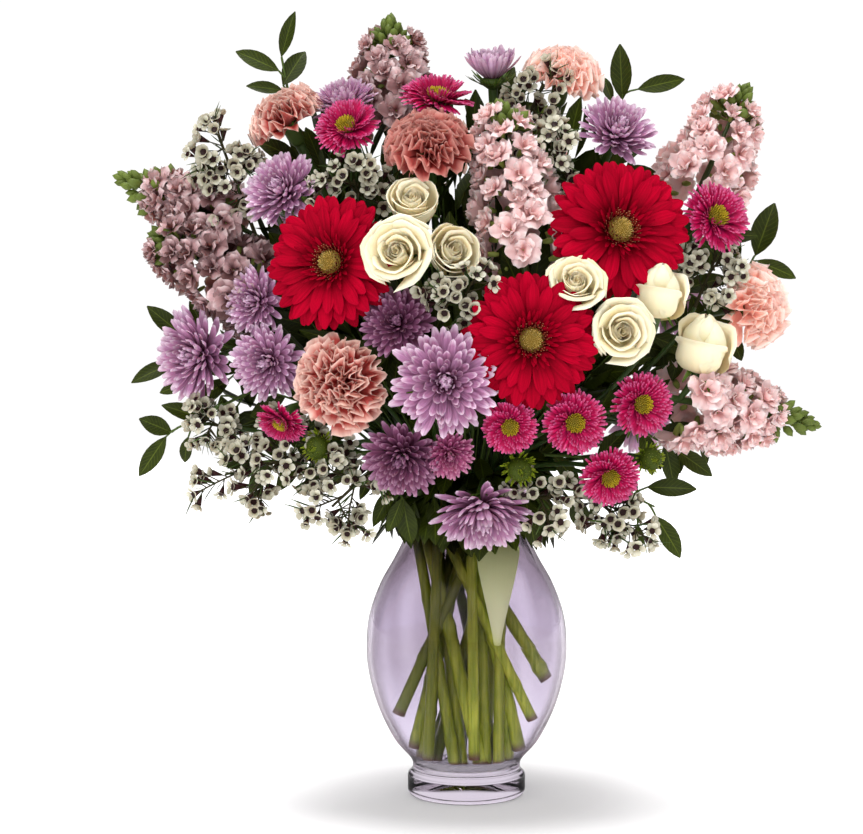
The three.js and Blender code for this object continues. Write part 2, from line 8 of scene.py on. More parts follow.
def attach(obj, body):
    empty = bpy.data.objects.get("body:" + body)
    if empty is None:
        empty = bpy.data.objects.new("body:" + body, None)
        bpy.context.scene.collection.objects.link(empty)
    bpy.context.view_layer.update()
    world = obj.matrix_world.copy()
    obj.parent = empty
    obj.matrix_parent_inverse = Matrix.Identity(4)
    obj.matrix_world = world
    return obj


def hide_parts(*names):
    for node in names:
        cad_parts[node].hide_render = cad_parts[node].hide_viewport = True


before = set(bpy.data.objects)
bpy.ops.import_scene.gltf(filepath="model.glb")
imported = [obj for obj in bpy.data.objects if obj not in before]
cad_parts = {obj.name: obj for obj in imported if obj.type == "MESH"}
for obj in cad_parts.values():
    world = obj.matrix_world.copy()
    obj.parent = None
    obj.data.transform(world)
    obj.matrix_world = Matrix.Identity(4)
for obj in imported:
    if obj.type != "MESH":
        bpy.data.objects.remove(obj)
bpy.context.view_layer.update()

# The set: a seamless white floor and white surroundings, with three large soft lamps: a key from the upper
# left, the strongest from above and a weak one from the right. The camera stands level with the bouquet.

scene = bpy.context.scene
scene.view_settings.view_transform = "Standard"

MM = 0.001
EYE = Vector((-25, -1500, 330)) * MM
AIM = Vector((-25, 0, 270)) * MM
LENS = 88.0  # mm, on a sensor 36 mm wide

camera = bpy.data.objects.new("camera", bpy.data.cameras.new("camera"))
scene.collection.objects.link(camera)
camera.data.lens = LENS
camera.location = EYE
camera.rotation_euler = (AIM - EYE).to_track_quat("-Z", "Y").to_euler()
scene.camera = camera


def paint(code):
    """The linear colour of an sRGB hex value such as "c0002a"."""
    shares = [int(code[i : i + 2], 16) / 255 for i in (0, 2, 4)]
    return [s / 12.92 if s <= 0.04045 else ((s + 0.055) / 1.055) ** 2.4 for s in shares] + [1.0]


def add(kind, inputs=(), mode=None, **settings):
    """Adds a node to the tree made last. Its inputs come by name or in order, each a value, a socket, or a node,
    which stands for its first output. The mode is its operation or the type of its data."""
    node = tree.nodes.new(kind if kind.startswith(("Geometry", "Function", "Node")) else "ShaderNode" + kind)
    if mode:
        settings["operation" if hasattr(node, "operation") else "data_type"] = mode
    for name, value in settings.items():
        setattr(node, name, value)
    for name, value in inputs.items() if isinstance(inputs, dict) else enumerate(inputs):
        if isinstance(name, int):
            socket = node.inputs[name]
        else:
            socket = next(s for s in node.inputs if s.enabled and s.name == name)
        if isinstance(value, bpy.types.Node):
            value = next(s for s in value.outputs if s.enabled)
        if isinstance(value, bpy.types.NodeSocket):
            tree.links.new(value, socket)
        else:
            socket.default_value = value
    return node


def new_material(name):
    """An empty material, whose tree is the next to be filled."""
    global tree
    material = bpy.data.materials.new(name)
    material.use_nodes = True
    tree = material.node_tree
    tree.nodes.clear()
    return material


def made_mesh(name, points, faces, smooth=True):
    """A mesh from points in metres and its faces."""
    mesh = bpy.data.meshes.new(name)
    mesh.from_pydata([tuple(p) for p in points], [], faces)
    if smooth:
        mesh.shade_smooth()
    return mesh


FLOOR_REACH = 4.0
FLOOR_HEIGHT = -0.0002  # a hair under the vase's foot

corners = [(-1, -1), (1, -1), (1, 1), (-1, 1)]
plane = made_mesh("floor", [(x * FLOOR_REACH, y * FLOOR_REACH, FLOOR_HEIGHT) for x, y in corners], [(0, 1, 2, 3)])
floor = bpy.data.objects.new("floor", plane)
scene.collection.objects.link(floor)

# Matt white photographer's acrylic, faintly uneven, so that its gloss isn't a mirror's. It is lit from below,
# hardly at all under the vase and more around it, which leaves only the shadow at the foot.
acrylic = new_material("matt white acrylic")
coords = add("TexCoord").outputs["Object"]
haze = add("TexNoise", {"Vector": coords, "Scale": 9.0, "Detail": 3.0})
gloss = add("MapRange", {"Value": haze, "To Min": 0.5, "To Max": 0.65})
path = add("LightPath").outputs
# In glossy reflections the floor is painted a darker grey: painted shade on its reflected image.
mirrored = add("Math", (path["Is Glossy Ray"], path["Transmission Depth"]), "SUBTRACT", use_clamp=True)
painted_darker_when_reflected = add("Mix", {"Factor": mirrored, "A": paint("f7f6f7"), "B": paint("8c8a8c")}, "RGBA")
away = add("VectorMath", (coords,), "LENGTH").outputs["Value"]
below = add("MapRange", {"Value": away, "From Min": 0.07, "From Max": 0.18, "To Max": 0.34},
    interpolation_type="SMOOTHSTEP")
surface = add("BsdfPrincipled", {"Base Color": painted_darker_when_reflected, "Roughness": gloss, "Specular IOR Level": 0.2,
    "Emission Color": (1, 1, 1, 1), "Emission Strength": below})
add("OutputMaterial", {"Surface": surface})
floor.data.materials.append(acrylic)

# A white backdrop all round under a dark ceiling. The lens sees plain white; clear glass bends part of its
# view up into the dark, which draws its edges; petals and leaves get a weaker light from every side.
SEEN_WHITE = 1.04
FILL_WHITE = 0.5
GLOSS_WHITE = 0.12
CEILING = 0.2

world = bpy.data.worlds.new("studio")
world.use_nodes = True
tree = world.node_tree
tree.nodes.clear()
path = add("LightPath")
direction = add("TexCoord").outputs["Generated"]
upwards = add("SeparateXYZ", {"Vector": direction}).outputs["Z"]
ring = add("MapRange", {"Value": upwards, "From Min": 0.3, "From Max": 0.68, "To Min": SEEN_WHITE, "To Max": CEILING})
mirrored = add("Mix", {"Factor": path.outputs["Is Glossy Ray"], "A": FILL_WHITE, "B": GLOSS_WHITE})
through = add("Math", (path.outputs["Transmission Depth"], 0.5), "GREATER_THAN")
unscattered = add("Math", (path.outputs["Diffuse Depth"], 0.5), "LESS_THAN")
in_glass = add("Math", (through, unscattered), "MULTIPLY")
bent = add("Mix", {"Factor": in_glass, "A": mirrored, "B": ring})
level = add("Mix", {"Factor": path.outputs["Is Camera Ray"], "A": bent, "B": SEEN_WHITE})
backdrop = add("Background", {"Color": paint("fffefe"), "Strength": level})
add("OutputWorld", {"Surface": backdrop})
scene.world = world

for name, towards, strength, softness in (
    ("key", (0.35, 1.0, -0.8), 1.5, 50),
    ("top", (0.06, -0.06, -1.0), 2.3, 34),
    ("side", (-0.9, 0.9, -0.35), 0.45, 70),
):
    lamp = bpy.data.lights.new(name, "SUN")
    lamp.energy = strength
    lamp.angle = radians(softness)
    light = bpy.data.objects.new(name, lamp)
    light.rotation_euler = Vector(towards).to_track_quat("-Z", "Y").to_euler()
    scene.collection.objects.link(light)

# The vase: one piece of mould-blown soda-lime glass, tinted pale lavender in the melt. An egg-shaped body
# stands on a thick solid foot and ends in a flared, fire-polished rim.

VASE_WALL = [  # radius and height of the outer wall, in mm
    (38, 20), (40, 27), (52, 41), (63.6, 65), (70.2, 90), (71.4, 111), (69, 131), (61.4, 152), (50.8, 171), (44, 186),
    (45, 195), (49.4, 205.6),
]
VASE_FOOT = [
    (0, 1.6), (30, 1.4), (34, 0.3), (36, 0), (38.2, 0), (40.4, 1.1), (41.7, 3.2), (42, 5.6), (41.9, 9), (42, 14.4),
    (41.4, 16.2), (39.6, 17.8),
]
VASE_LIP = [(49.7, 206.4), (49.2, 207), (48.2, 207.2), (47, 207), (46.4, 206.3)]
CAVITY = [  # the inner wall, from the rim down to the middle of the floor
    (45.6, 204.5), (41.5, 195), (40.5, 186), (47.2, 171), (57.8, 152), (65.4, 131), (67.8, 111), (66.6, 90),
    (60.1, 65), (49.9, 44), (42.5, 34), (34.5, 26.4), (26, 21.6), (13, 20), (0, 20),
]
GLASS_SIDES = 96


def smoothed(points, steps):
    """A curve that runs evenly through the points."""
    points = np.array(points, float)
    ends = np.vstack([2 * points[0] - points[1], points, 2 * points[-1] - points[-2]])
    found = []
    for i in range(len(points) - 1):
        a, b, c, d = ends[i : i + 4]
        for t in np.arange(steps) / steps:
            square, cube = 2 * a - 5 * b + 4 * c - d, 3 * b - a - 3 * c + d
            found.append(0.5 * (2 * b + (c - a) * t + square * t**2 + cube * t**3))
    return np.array(found + [points[-1]])


def turned(name, profile, sides, material=None):
    """A closed surface turned about the upright axis. Its profile of radius and height starts and ends there."""
    angles = np.arange(sides) * 2 * pi / sides
    points = [(0, 0, profile[0][1])]
    for r, z in profile[1:-1]:
        points += [(r * cos(a), r * sin(a), z) for a in angles]
    points.append((0, 0, profile[-1][1]))
    rings = len(profile) - 2
    faces = []
    for i in range(sides):
        j = (i + 1) % sides
        faces.append((0, 1 + j, 1 + i))
        for ring in range(rings - 1):
            low, high = 1 + ring * sides, 1 + (ring + 1) * sides
            faces.append((low + i, low + j, high + j, high + i))
        top = 1 + (rings - 1) * sides
        faces.append((top + i, top + j, len(points) - 1))
    mesh = made_mesh(name, points, faces)
    if material:
        mesh.materials.append(material)
    return mesh


def joined(name, meshes):
    """One mesh of several, which keep their materials and marks."""
    parts = [bpy.data.objects.new(name, mesh) for mesh in meshes]
    for part in parts:
        scene.collection.objects.link(part)
    if len(parts) > 1:
        with bpy.context.temp_override(active_object=parts[0], selected_editable_objects=parts):
            bpy.ops.object.join()
    mesh = parts[0].data
    bpy.data.objects.remove(parts[0])
    mesh.name = name
    return mesh


def add_piece(name, meshes, node=None):
    """A finished piece of the bouquet: it rides with the vase and stands for its node, where it has one."""
    piece = bpy.data.objects.new(name, joined(name, meshes))
    scene.collection.objects.link(piece)
    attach(piece, "root")
    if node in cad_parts:
        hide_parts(node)
    return piece


# Lavender soda-lime glass: clear and polished. Its tint is painted by height: nearly white in the foot and low
# body, where the white backdrop shows through, and plummy towards the neck. Faint upright bands of painted
# reflection lighten it, and a painted dark outline, standing in for dark reflections, runs along its edges
# where the eye looks along the wall.
# The lavender tint by height, painted lighter low down, where the white backdrop shows through the water.
GLASS_TINTS_AND_PAINTED_LIGHT = [  # by height
    (0.0, "f4f1f8"), (0.1, "f4f1f8"), (0.15, "e8e4f0"), (0.3, "dad4e2"), (0.48, "bfb7c5"), (0.8, "a499a5"),
    (0.97, "7f7077"),
]
GLASS_DEPTH = ("b094b4", 6.0)  # the colour that is left, and how strongly it builds up for each metre

glass = new_material("lavender soda-lime glass")
coords = add("TexCoord").outputs["Object"]
height = add("SeparateXYZ", {"Vector": coords}).outputs["Z"]
level = add("MapRange", {"Value": height, "From Max": VASE_WALL[-1][1] * MM})
tint_and_painted_light = add("ValToRGB", {"Fac": level})
stops = tint_and_painted_light.color_ramp.elements
stops.remove(stops[1])
for share, code in GLASS_TINTS_AND_PAINTED_LIGHT[1:]:
    stops.new(share)
for stop, (share, code) in zip(stops, GLASS_TINTS_AND_PAINTED_LIGHT):
    stop.position, stop.color = share, paint(code)
# Painted reflections: faint upright bands where the colour is lifted to a pale lilac.
upright = add("Mapping", {"Vector": coords, "Scale": (24.0, 24.0, 5.0)})
painted_reflection_noise = add("TexNoise", {"Vector": upright, "Scale": 1.0, "Detail": 1.0})
painted_reflection_band = add("MapRange", {"Value": painted_reflection_noise, "From Min": 0.45, "From Max": 0.62, "To Max": 0.42})
with_painted_reflections = add("Mix", {"Factor": painted_reflection_band, "A": tint_and_painted_light, "B": paint("efeaf6")}, "RGBA")
# Painted dark outline: towards its silhouette, mostly on the lower body, the colour goes to a dark plum that stands in
# for dark reflections.
facing = add("LayerWeight", {"Blend": 0.5}).outputs["Facing"]
outline = add("MapRange", {"Value": facing, "From Min": 0.56, "From Max": 0.8})
low_down = add("MapRange", {"Value": level, "From Min": 0.62, "From Max": 0.3, "To Min": 0.35})
on_body = add("MapRange", {"Value": level, "From Min": 0.09, "From Max": 0.13})
where = add("Math", (low_down, on_body), "MULTIPLY")
edge = add("Math", (outline, where), "MULTIPLY")
edged = add("Mix", {"Factor": edge, "A": with_painted_reflections, "B": paint("5a4652")}, "RGBA")
waver = add("TexNoise", {"Vector": coords, "Scale": 28.0, "Detail": 1.0})
bump = add("Bump", {"Height": waver, "Strength": 0.12, "Distance": 0.0012})
surface = add("BsdfPrincipled", {"Base Color": edged, "Roughness": 0.0, "IOR": 1.51, "Transmission Weight": 1.0,
    "Specular Tint": paint("5a5a5a"), "Normal": bump})
depth = add("VolumeAbsorption", {"Color": paint(GLASS_DEPTH[0]), "Density": GLASS_DEPTH[1]})
add("OutputMaterial", {"Surface": surface, "Volume": depth})

inner_wall = smoothed(CAVITY, 5)
profile = np.vstack([VASE_FOOT, smoothed(VASE_WALL, 6), VASE_LIP, inner_wall]) * MM
vase = add_piece("vase_glass", [turned("vase_glass", profile, GLASS_SIDES, glass)], "vase")
vase.visible_shadow = False  # the lamps shine in through clear glass

# The water fills the lower half of the vase and wets the glass, so its skin lies just inside the wall, and
# climbs it a little at the edge.

WATER_LEVEL = 113.0
WETTED = 0.1  # how far it reaches into the wall
MENISCUS = [(0.1, 0.7), (-0.4, 0.3), (-1.0, 0.08), (-2.2, 0)]  # from the wall, and over the level

below = [(r + WETTED, z - WETTED / 2) for r, z in inner_wall[::-1] if z < WATER_LEVEL and r > 0]
wall_radius = float(np.interp(WATER_LEVEL, inner_wall[::-1, 1], inner_wall[::-1, 0]))
brim = [(wall_radius + r, WATER_LEVEL + z) for r, z in MENISCUS]
profile = np.array([(0, 20 - WETTED / 2), *below, *brim, (0, WATER_LEVEL)]) * MM

# Fresh water with a trace of sap from the stems.
water = new_material("water")
coords = add("TexCoord").outputs["Object"]
ripple = add("TexNoise", {"Vector": coords, "Scale": 18.0, "Detail": 0.0})
bump = add("Bump", {"Height": ripple, "Strength": 0.05, "Distance": 0.001})
surface = add("BsdfPrincipled", {"Base Color": paint("fdfdfb"), "Roughness": 0.0, "IOR": 1.004,
    "Transmission Weight": 1.0, "Normal": bump})
sap = add("VolumeAbsorption", {"Color": paint("d8dfb4"), "Density": 1.2})
add("OutputMaterial", {"Surface": surface, "Volume": sap})
pool = add_piece("vase_water", [turned("vase_water", profile, GLASS_SIDES, water)], "water")
pool.visible_shadow = False

# Gerberas: three large heads of strap-shaped petals in two full rows, a smaller third and a fringe, round a
# disc of tiny florets. Each petal is a thin blade that arches a little and is cupped along its length.


def closed_blade(points, u, v, thick):
    """A closed blade round a grid of points, with its face towards the cross product of u and v. Its marks are
    the place across, from -1 to 1, the place along, from 0 to 1, and the side, 1 for the face."""
    normal = np.cross(np.gradient(points, axis=1), np.gradient(points, axis=0))
    normal /= np.linalg.norm(normal, axis=-1, keepdims=True) + 1e-12
    rows, columns = u.shape
    top = points.copy()
    top[1:-1, 1:-1] += normal[1:-1, 1:-1] * thick / 2
    under = (points - normal * thick / 2)[1:-1, 1:-1]
    upper = np.arange(rows * columns).reshape(rows, columns)
    lower = upper.copy()
    lower[1:-1, 1:-1] = rows * columns + np.arange((rows - 2) * (columns - 2)).reshape(rows - 2, columns - 2)
    faces = []
    for i in range(rows - 1):
        for j in range(columns - 1):
            faces.append((upper[i, j], upper[i, j + 1], upper[i + 1, j + 1], upper[i + 1, j]))
            faces.append((lower[i, j], lower[i + 1, j], lower[i + 1, j + 1], lower[i, j + 1]))
    mesh = made_mesh("blade", np.vstack([top.reshape(-1, 3), under.reshape(-1, 3)]), faces)
    side = np.zeros_like(u)
    side[1:-1, 1:-1] = 1
    on_top = np.stack([u, v, side], axis=-1)
    beneath = np.stack([u, v, -np.ones_like(u)], axis=-1)[1:-1, 1:-1]
    mark(mesh, "petal", np.vstack([on_top.reshape(-1, 3), beneath.reshape(-1, 3)]))
    # the rim is sharp, so that the face stays evenly lit up to it
    rim = np.zeros(rows * columns + under.shape[0] * under.shape[1], bool)
    rim[upper[[0, -1]]] = True
    rim[upper[:, [0, -1]]] = True
    sharp = mesh.attributes.new("sharp_edge", "BOOLEAN", "EDGE")
    sharp.data.foreach_set("value", [bool(rim[a] and rim[b]) for a, b in mesh.edge_keys])
    return mesh


def petal(length, widths, across=4, arch=0.0, curl=0.0, cup=0.0, point=0.0, ripple=0.0, waves=3.0, fray=0.0,
          thick=0.012, seed=1):
    """A petal that lies along +Y with its face up, in units of its flower's radius. Its half width is given at
    even steps from root to tip. It arches evenly, curls towards the tip and is cupped across."""
    random = np.random.default_rng(seed)
    along = np.linspace(0, 1, len(widths))
    bend = arch * along + curl * along**3
    middle = (bend[1:] + bend[:-1]) / 2
    step = length / (len(widths) - 1)
    y = np.concatenate([[0], np.cumsum(np.cos(middle)) * step])
    z = np.concatenate([[0], np.cumsum(np.sin(middle)) * step])
    u, v = np.meshgrid(np.linspace(-1, 1, across + 1), along)
    half = np.array(widths)[:, None]
    raised = cup * half * u**2 + ripple * v**2 * np.sin(waves * pi * (u + 1) / 2 + seed) * half
    reach = -point * u**2 * v**3 + fray * v**8 * random.uniform(-1, 1, u.shape)
    raised = raised + 0.5 * ripple * half * v**4 * random.uniform(-1, 1, u.shape)
    points = np.stack([half * u, y[:, None] + np.cos(bend)[:, None] * reach - np.sin(bend)[:, None] * raised,
        z[:, None] + np.sin(bend)[:, None] * reach + np.cos(bend)[:, None] * raised], axis=-1)
    return closed_blade(points, u, v, thick)


def mark(mesh, name, vectors):
    """Gives each point of a mesh a vector, which its material reads."""
    attribute = mesh.attributes.new(name, "FLOAT_VECTOR", "POINT")
    attribute.data.foreach_set("vector", np.asarray(vectors, np.float32).ravel())


def marked(name):
    """The three numbers of a mark, as a material reads them."""
    return add("SeparateXYZ", {"Vector": add("Attribute", attribute_name=name).outputs["Vector"]}).outputs


def shapes(name, meshes):
    """The different shapes that a tree deals out in turn, kept out of the scene."""
    group = bpy.data.collections.new(name)
    for i, mesh in enumerate(meshes):
        group.objects.link(bpy.data.objects.new(f"{name}_{i}", mesh))
    return group


def new_tree(name, inputs):
    """A tree for a modifier, with named inputs, which is the next to be filled."""
    global tree
    tree = bpy.data.node_groups.new(name, "GeometryNodeTree")
    tree.interface.new_socket("Geometry", in_out="INPUT", socket_type="NodeSocketGeometry")
    for label, kind in inputs.items():
        tree.interface.new_socket(label, in_out="INPUT", socket_type="NodeSocket" + kind)
    tree.interface.new_socket("Geometry", in_out="OUTPUT", socket_type="NodeSocketGeometry")
    return tree


def end_tree(given, geometry):
    """Ends a tree: what it made becomes a plain mesh with its material."""
    solid = add("GeometryNodeRealizeInstances", {"Geometry": geometry})
    finished = add("GeometryNodeSetMaterial", {"Geometry": solid, "Material": given["Material"]})
    add("NodeGroupOutput", {"Geometry": finished})


def deal_out(given, seats, index, rotation, size, share, seed):
    """Ends a tree that deals its shapes out to seats, each marked with its share of the way outwards and with a
    random number of its own."""
    kinds = add("GeometryNodeCollectionInfo", {"Collection": given["Shapes"], "Separate Children": True})
    copies = add("GeometryNodeInstanceOnPoints", {"Points": seats, "Instance": kinds, "Pick Instance": True,
        "Instance Index": index, "Rotation": rotation, "Scale": size})
    odds = add("FunctionNodeRandomValue", {"Seed": seed}, "FLOAT")
    story = add("CombineXYZ", {"X": share, "Y": odds})
    place = {"Geometry": copies, "Name": "place", "Value": story}
    end_tree(given, add("GeometryNodeStoreNamedAttribute", place, "FLOAT_VECTOR", domain="INSTANCE"))


# Whorls: shapes set round the upright axis, from the innermost to the outermost, as petals, florets and
# bracts grow. Their distance, height, lift above the level and size change evenly from inner to outer.
GRADED = ("Radius", "Height", "Lift", "Size")
whorls = new_tree("whorls", {"Shapes": "Collection", "Count": "Int", "Turn": "Float", "Start": "Float",
    **{place + label: "Float" for label in GRADED for place in ("Inner ", "Outer ")}, "Ease": "Float",
    "Unevenness": "Float", "Seed": "Int", "Material": "Material"})
given = add("NodeGroupInput").outputs
index = add("GeometryNodeInputIndex")
last = add("Math", (given["Count"], 0.999), "SUBTRACT")
share = add("Math", (index, last), "DIVIDE")
eased = add("Math", (share, given["Ease"]), "POWER")
graded = {label: add("Mix", {"Factor": eased, "A": given["Inner " + label], "B": given["Outer " + label]})
    for label in GRADED}
chance = add("FunctionNodeRandomValue", {"Min": (-1, -1, -1), "Max": (1, 1, 1), "Seed": given["Seed"]},
    mode="FLOAT_VECTOR")
uneven = add("VectorMath", {"Vector": chance, "Scale": given["Unevenness"]}, "SCALE")
shift = add("SeparateXYZ", {"Vector": uneven}).outputs
turns = add("Math", (index, given["Turn"], given["Start"]), "MULTIPLY_ADD")
angle = add("Math", (turns, shift["Z"]), "ADD")
sideways = add("Math", (angle,), "COSINE")
forwards = add("Math", (angle,), "SINE")
x = add("Math", (sideways, graded["Radius"]), "MULTIPLY")
y = add("Math", (forwards, graded["Radius"]), "MULTIPLY")
places = add("CombineXYZ", {"X": x, "Y": y, "Z": graded["Height"]})
seats = add("GeometryNodePoints", {"Count": given["Count"], "Position": places})
lift = add("Math", (graded["Lift"], shift["X"]), "ADD")
heading = add("Math", (angle, pi / 2), "SUBTRACT")
roll = add("Math", (shift["Y"], 0.8), "MULTIPLY")
euler = add("CombineXYZ", {"X": lift, "Y": roll, "Z": heading})
rotation = add("FunctionNodeEulerToRotation", {"Euler": euler})
growth = add("Math", (shift["Y"], 0.7, 1.0), "MULTIPLY_ADD")
size = add("Math", (graded["Size"], growth), "MULTIPLY")
deal_out(given, seats, index, rotation, size, eased, given["Seed"])


def grown(tree, frame_mesh=None, **values):
    """The plain mesh that a tree makes with these inputs, along a mesh of points and edges or from nothing."""
    seedling = bpy.data.objects.new("seedling", frame_mesh or bpy.data.meshes.new("seedling"))
    scene.collection.objects.link(seedling)
    modifier = seedling.modifiers.new("growth", "NODES")
    modifier.node_group = tree
    for socket in tree.interface.items_tree:
        label = socket.name.replace(" ", "_").lower()
        if socket.in_out == "INPUT" and label in values:
            modifier[socket.identifier] = values[label]
    graph = bpy.context.evaluated_depsgraph_get()
    mesh = bpy.data.meshes.new_from_object(seedling.evaluated_get(graph))
    bpy.data.objects.remove(seedling)
    return mesh


GOLDEN = pi * (3 - sqrt(5))  # the turn between one leaf or floret and the next


def whorl(group, material, count, radius, height, lift, size, turn=GOLDEN, start=0.0, ease=1.0, uneven=0.08, seed=1):
    """Shapes set round an axis. A pair is the inner and the outer value, and lifts are in degrees."""
    ends = {}
    for label, value in (("radius", radius), ("height", height), ("lift", lift), ("size", size)):
        inner, outer = value if isinstance(value, (tuple, list)) else (value, value)
        scale = radians(1) if label == "lift" else 1.0
        ends.update({"inner_" + label: inner * scale, "outer_" + label: outer * scale})
    return grown(whorls, shapes=group, count=count, turn=turn, start=float(start), ease=float(ease), unevenness=uneven,
        seed=seed, material=material, **ends)


def seen_at(place):
    """A point given in mm on the upright plane through the vase, at the depth y on its own line of sight."""
    x, y, z = (value * MM for value in place)
    nearer = (y - EYE.y) / -EYE.y
    return Vector((EYE.x + (x - EYE.x) * nearer, y, EYE.z + (z - EYE.z) * nearer))


def placed(mesh, middle, facing, size=1.0):
    """Moves a mesh that faces +Z so that it faces along a direction from a point, and scales it."""
    turn = Vector((0, 0, 1)).rotation_difference(Vector(facing)).to_matrix().to_4x4()
    turn.translation = middle
    mesh.transform(turn @ Matrix.Scale(size, 4))
    return mesh


def bloom_material(name, codes, streaks=3.0, streak=0.3, gloss=0.55, glow=0.15, tone=0.2, waxy=0.2, depth=0.35,
                   lit=0.0):
    """A living petal: the colours of its root, blade, tip, back and shade, fine veins along it, its own tone,
    painted shade in the heart of the flower and at the foot of each petal, a dull waxy skin, light that soaks a
    little way in, and a painted glow for light that comes through."""
    root, blade, tip, back, shade = (paint(code) for code in codes.split())
    material = new_material(name)
    on_petal, in_bloom = marked("petal"), marked("place")
    colours = add("ValToRGB", {"Fac": on_petal["Y"]})
    stops = colours.color_ramp.elements
    stops[0].color = root
    stops[1].color = tip
    stops.new(0.45).color = blade
    stops.new(0.8).color = blade
    side_on = add("Math", (on_petal["X"], streaks), "MULTIPLY")
    own = add("Math", (in_bloom["Y"], 53.0), "MULTIPLY")
    lines_at = add("CombineXYZ", {"X": side_on, "Y": on_petal["Y"], "Z": own})
    veins = add("TexNoise", {"Vector": lines_at, "Scale": 1.0})
    vein_shade = add("MapRange", {"Value": veins, "From Min": 0.35, "From Max": 0.7, "To Max": streak})
    veined = add("Mix", {"Factor": vein_shade, "A": colours, "B": shade}, mode="RGBA")
    reverse = add("MapRange", {"Value": on_petal["Z"], "From Max": -1.0})
    turned_over = add("Mix", {"Factor": reverse, "A": veined, "B": back}, "RGBA")
    # Painted shade: the colour goes towards the shade colour in the heart of the flower, by depth, and at the foot of
    # each petal, where the petals overlap.
    heart_shade = add("MapRange", {"Value": in_bloom["X"], "From Max": 0.6, "To Min": depth, "To Max": 0.0})
    foot = add("MapRange", {"Value": on_petal["Y"], "From Max": 0.7, "To Min": 0.8, "To Max": 0.0})
    painted_shade = add("Math", (heart_shade, foot), "MAXIMUM")
    with_painted_shade = add("Mix", {"Factor": painted_shade, "A": turned_over, "B": shade}, "RGBA")
    light = add("MapRange", {"Value": in_bloom["Y"], "To Min": 1.0 - tone, "To Max": 1.0 + tone})
    toned = add("HueSaturation", {"Color": with_painted_shade, "Value": light})
    coords = add("TexCoord").outputs["Object"]
    cells = add("TexNoise", {"Vector": coords, "Scale": 900.0, "Detail": 1.0})
    skin = add("Math", (cells, 0.4, veins), "MULTIPLY_ADD")
    bump = add("Bump", {"Height": skin, "Strength": 0.35, "Distance": 0.0004})
    rough = add("MapRange", {"Value": cells, "To Min": gloss - 0.08, "To Max": gloss + 0.1})
    # Where lit is set, the petal gives off its own colour as a painted glow, which stands in for light coming through
    # it.
    surface = add("BsdfPrincipled", {"Base Color": toned, "Roughness": rough, "Specular IOR Level": waxy,
        "Subsurface Weight": glow, "Subsurface Scale": 0.002, "Emission Color": toned, "Emission Strength": lit,
        "Normal": bump})
    surface.inputs["Subsurface Radius"].default_value = (1.0, 0.5, 0.35)
    add("OutputMaterial", {"Surface": surface})
    return material


# Gerbera petal: a saturated, velvety crimson, with painted shade that goes almost black between the rows.
gerbera_red = bloom_material("gerbera petal", "560008 ac0023 aa0024 700016 54000a", streaks=4.0, streak=0.45,
    gloss=0.62, glow=0.0, waxy=0.03)
STRAP = [0.035, 0.06, 0.085, 0.104, 0.117, 0.12, 0.108, 0.06]
gerbera_straps = shapes("gerbera_strap", [petal(0.8, STRAP, arch=0.08 * k, curl=-0.25, cup=0.2 - 0.18 * k, point=0.05,
    ripple=0.1, seed=k) for k in (0, 1, 2)])
gerbera_shorts = shapes("gerbera_short", [petal(0.26, [0.012, 0.022, 0.026, 0.02, 0.008], across=2, arch=0.5, cup=0.4,
    seed=4)])
# Disc floret: an olive-gold tube, the outer ones longer and tipped with tan.
disc_gold = bloom_material("gerbera disc", "b89840 e6ca6c fff4b8 c8ac50 b09440", streaks=2.0, streak=0.2, gloss=0.6,
    glow=0.05, tone=0.25)
ring_red = bloom_material("gerbera ring", "6a0a10 a02a1c e8b884 6a1410 3a0406", streaks=2.0, gloss=0.6, glow=0.05)
floret_shapes = shapes("gerbera_floret", [petal(0.075, [0.009, 0.012, 0.006], across=2, arch=0.3, thick=0.016,
    seed=5)])

GERBERAS = [  # node, where it is seen, the direction that it faces and its width in mm
    ("left", (-97, -106, 380), (-0.35, -0.92, 0.15), 92),
    ("right", (109, -104, 403), (0.22, -0.95, 0.22), 98),
    ("centre", (46, -136, 325), (0.1, -0.99, 0.05), 90),
]
STRAP_TURN = 2 * pi / 24
GERBERA_ROWS = [  # shapes, their number, radius, height, lift, size, turn, start, ease, unevenness
    (gerbera_straps, 24, 0.2, -0.05, -4, 1, STRAP_TURN, 0, 0, 0.05),
    (gerbera_straps, 24, 0.19, 0, 3, 0.97, STRAP_TURN, STRAP_TURN / 2, 0, 0.06),
    (gerbera_straps, 22, 0.18, 0.03, 8, 0.78, GOLDEN, 0.4, 0, 0.08),
    (gerbera_shorts, 60, (0.18, 0.24), (0.04, 0.03), (56, 22), (0.9, 1.25), GOLDEN, 0, 1, 0.12),
]
GERBERA_BASE = -0.22  # where the stem meets a head, in its radii behind its widest ring
GERBERA_CUP = 6.0  # the radius of its cup in mm
carried = []  # what the stems carry: the back of each head or spray, where it faces, and its cup's radius
green_parts = []  # calyxes and bracts, which grow on the stems

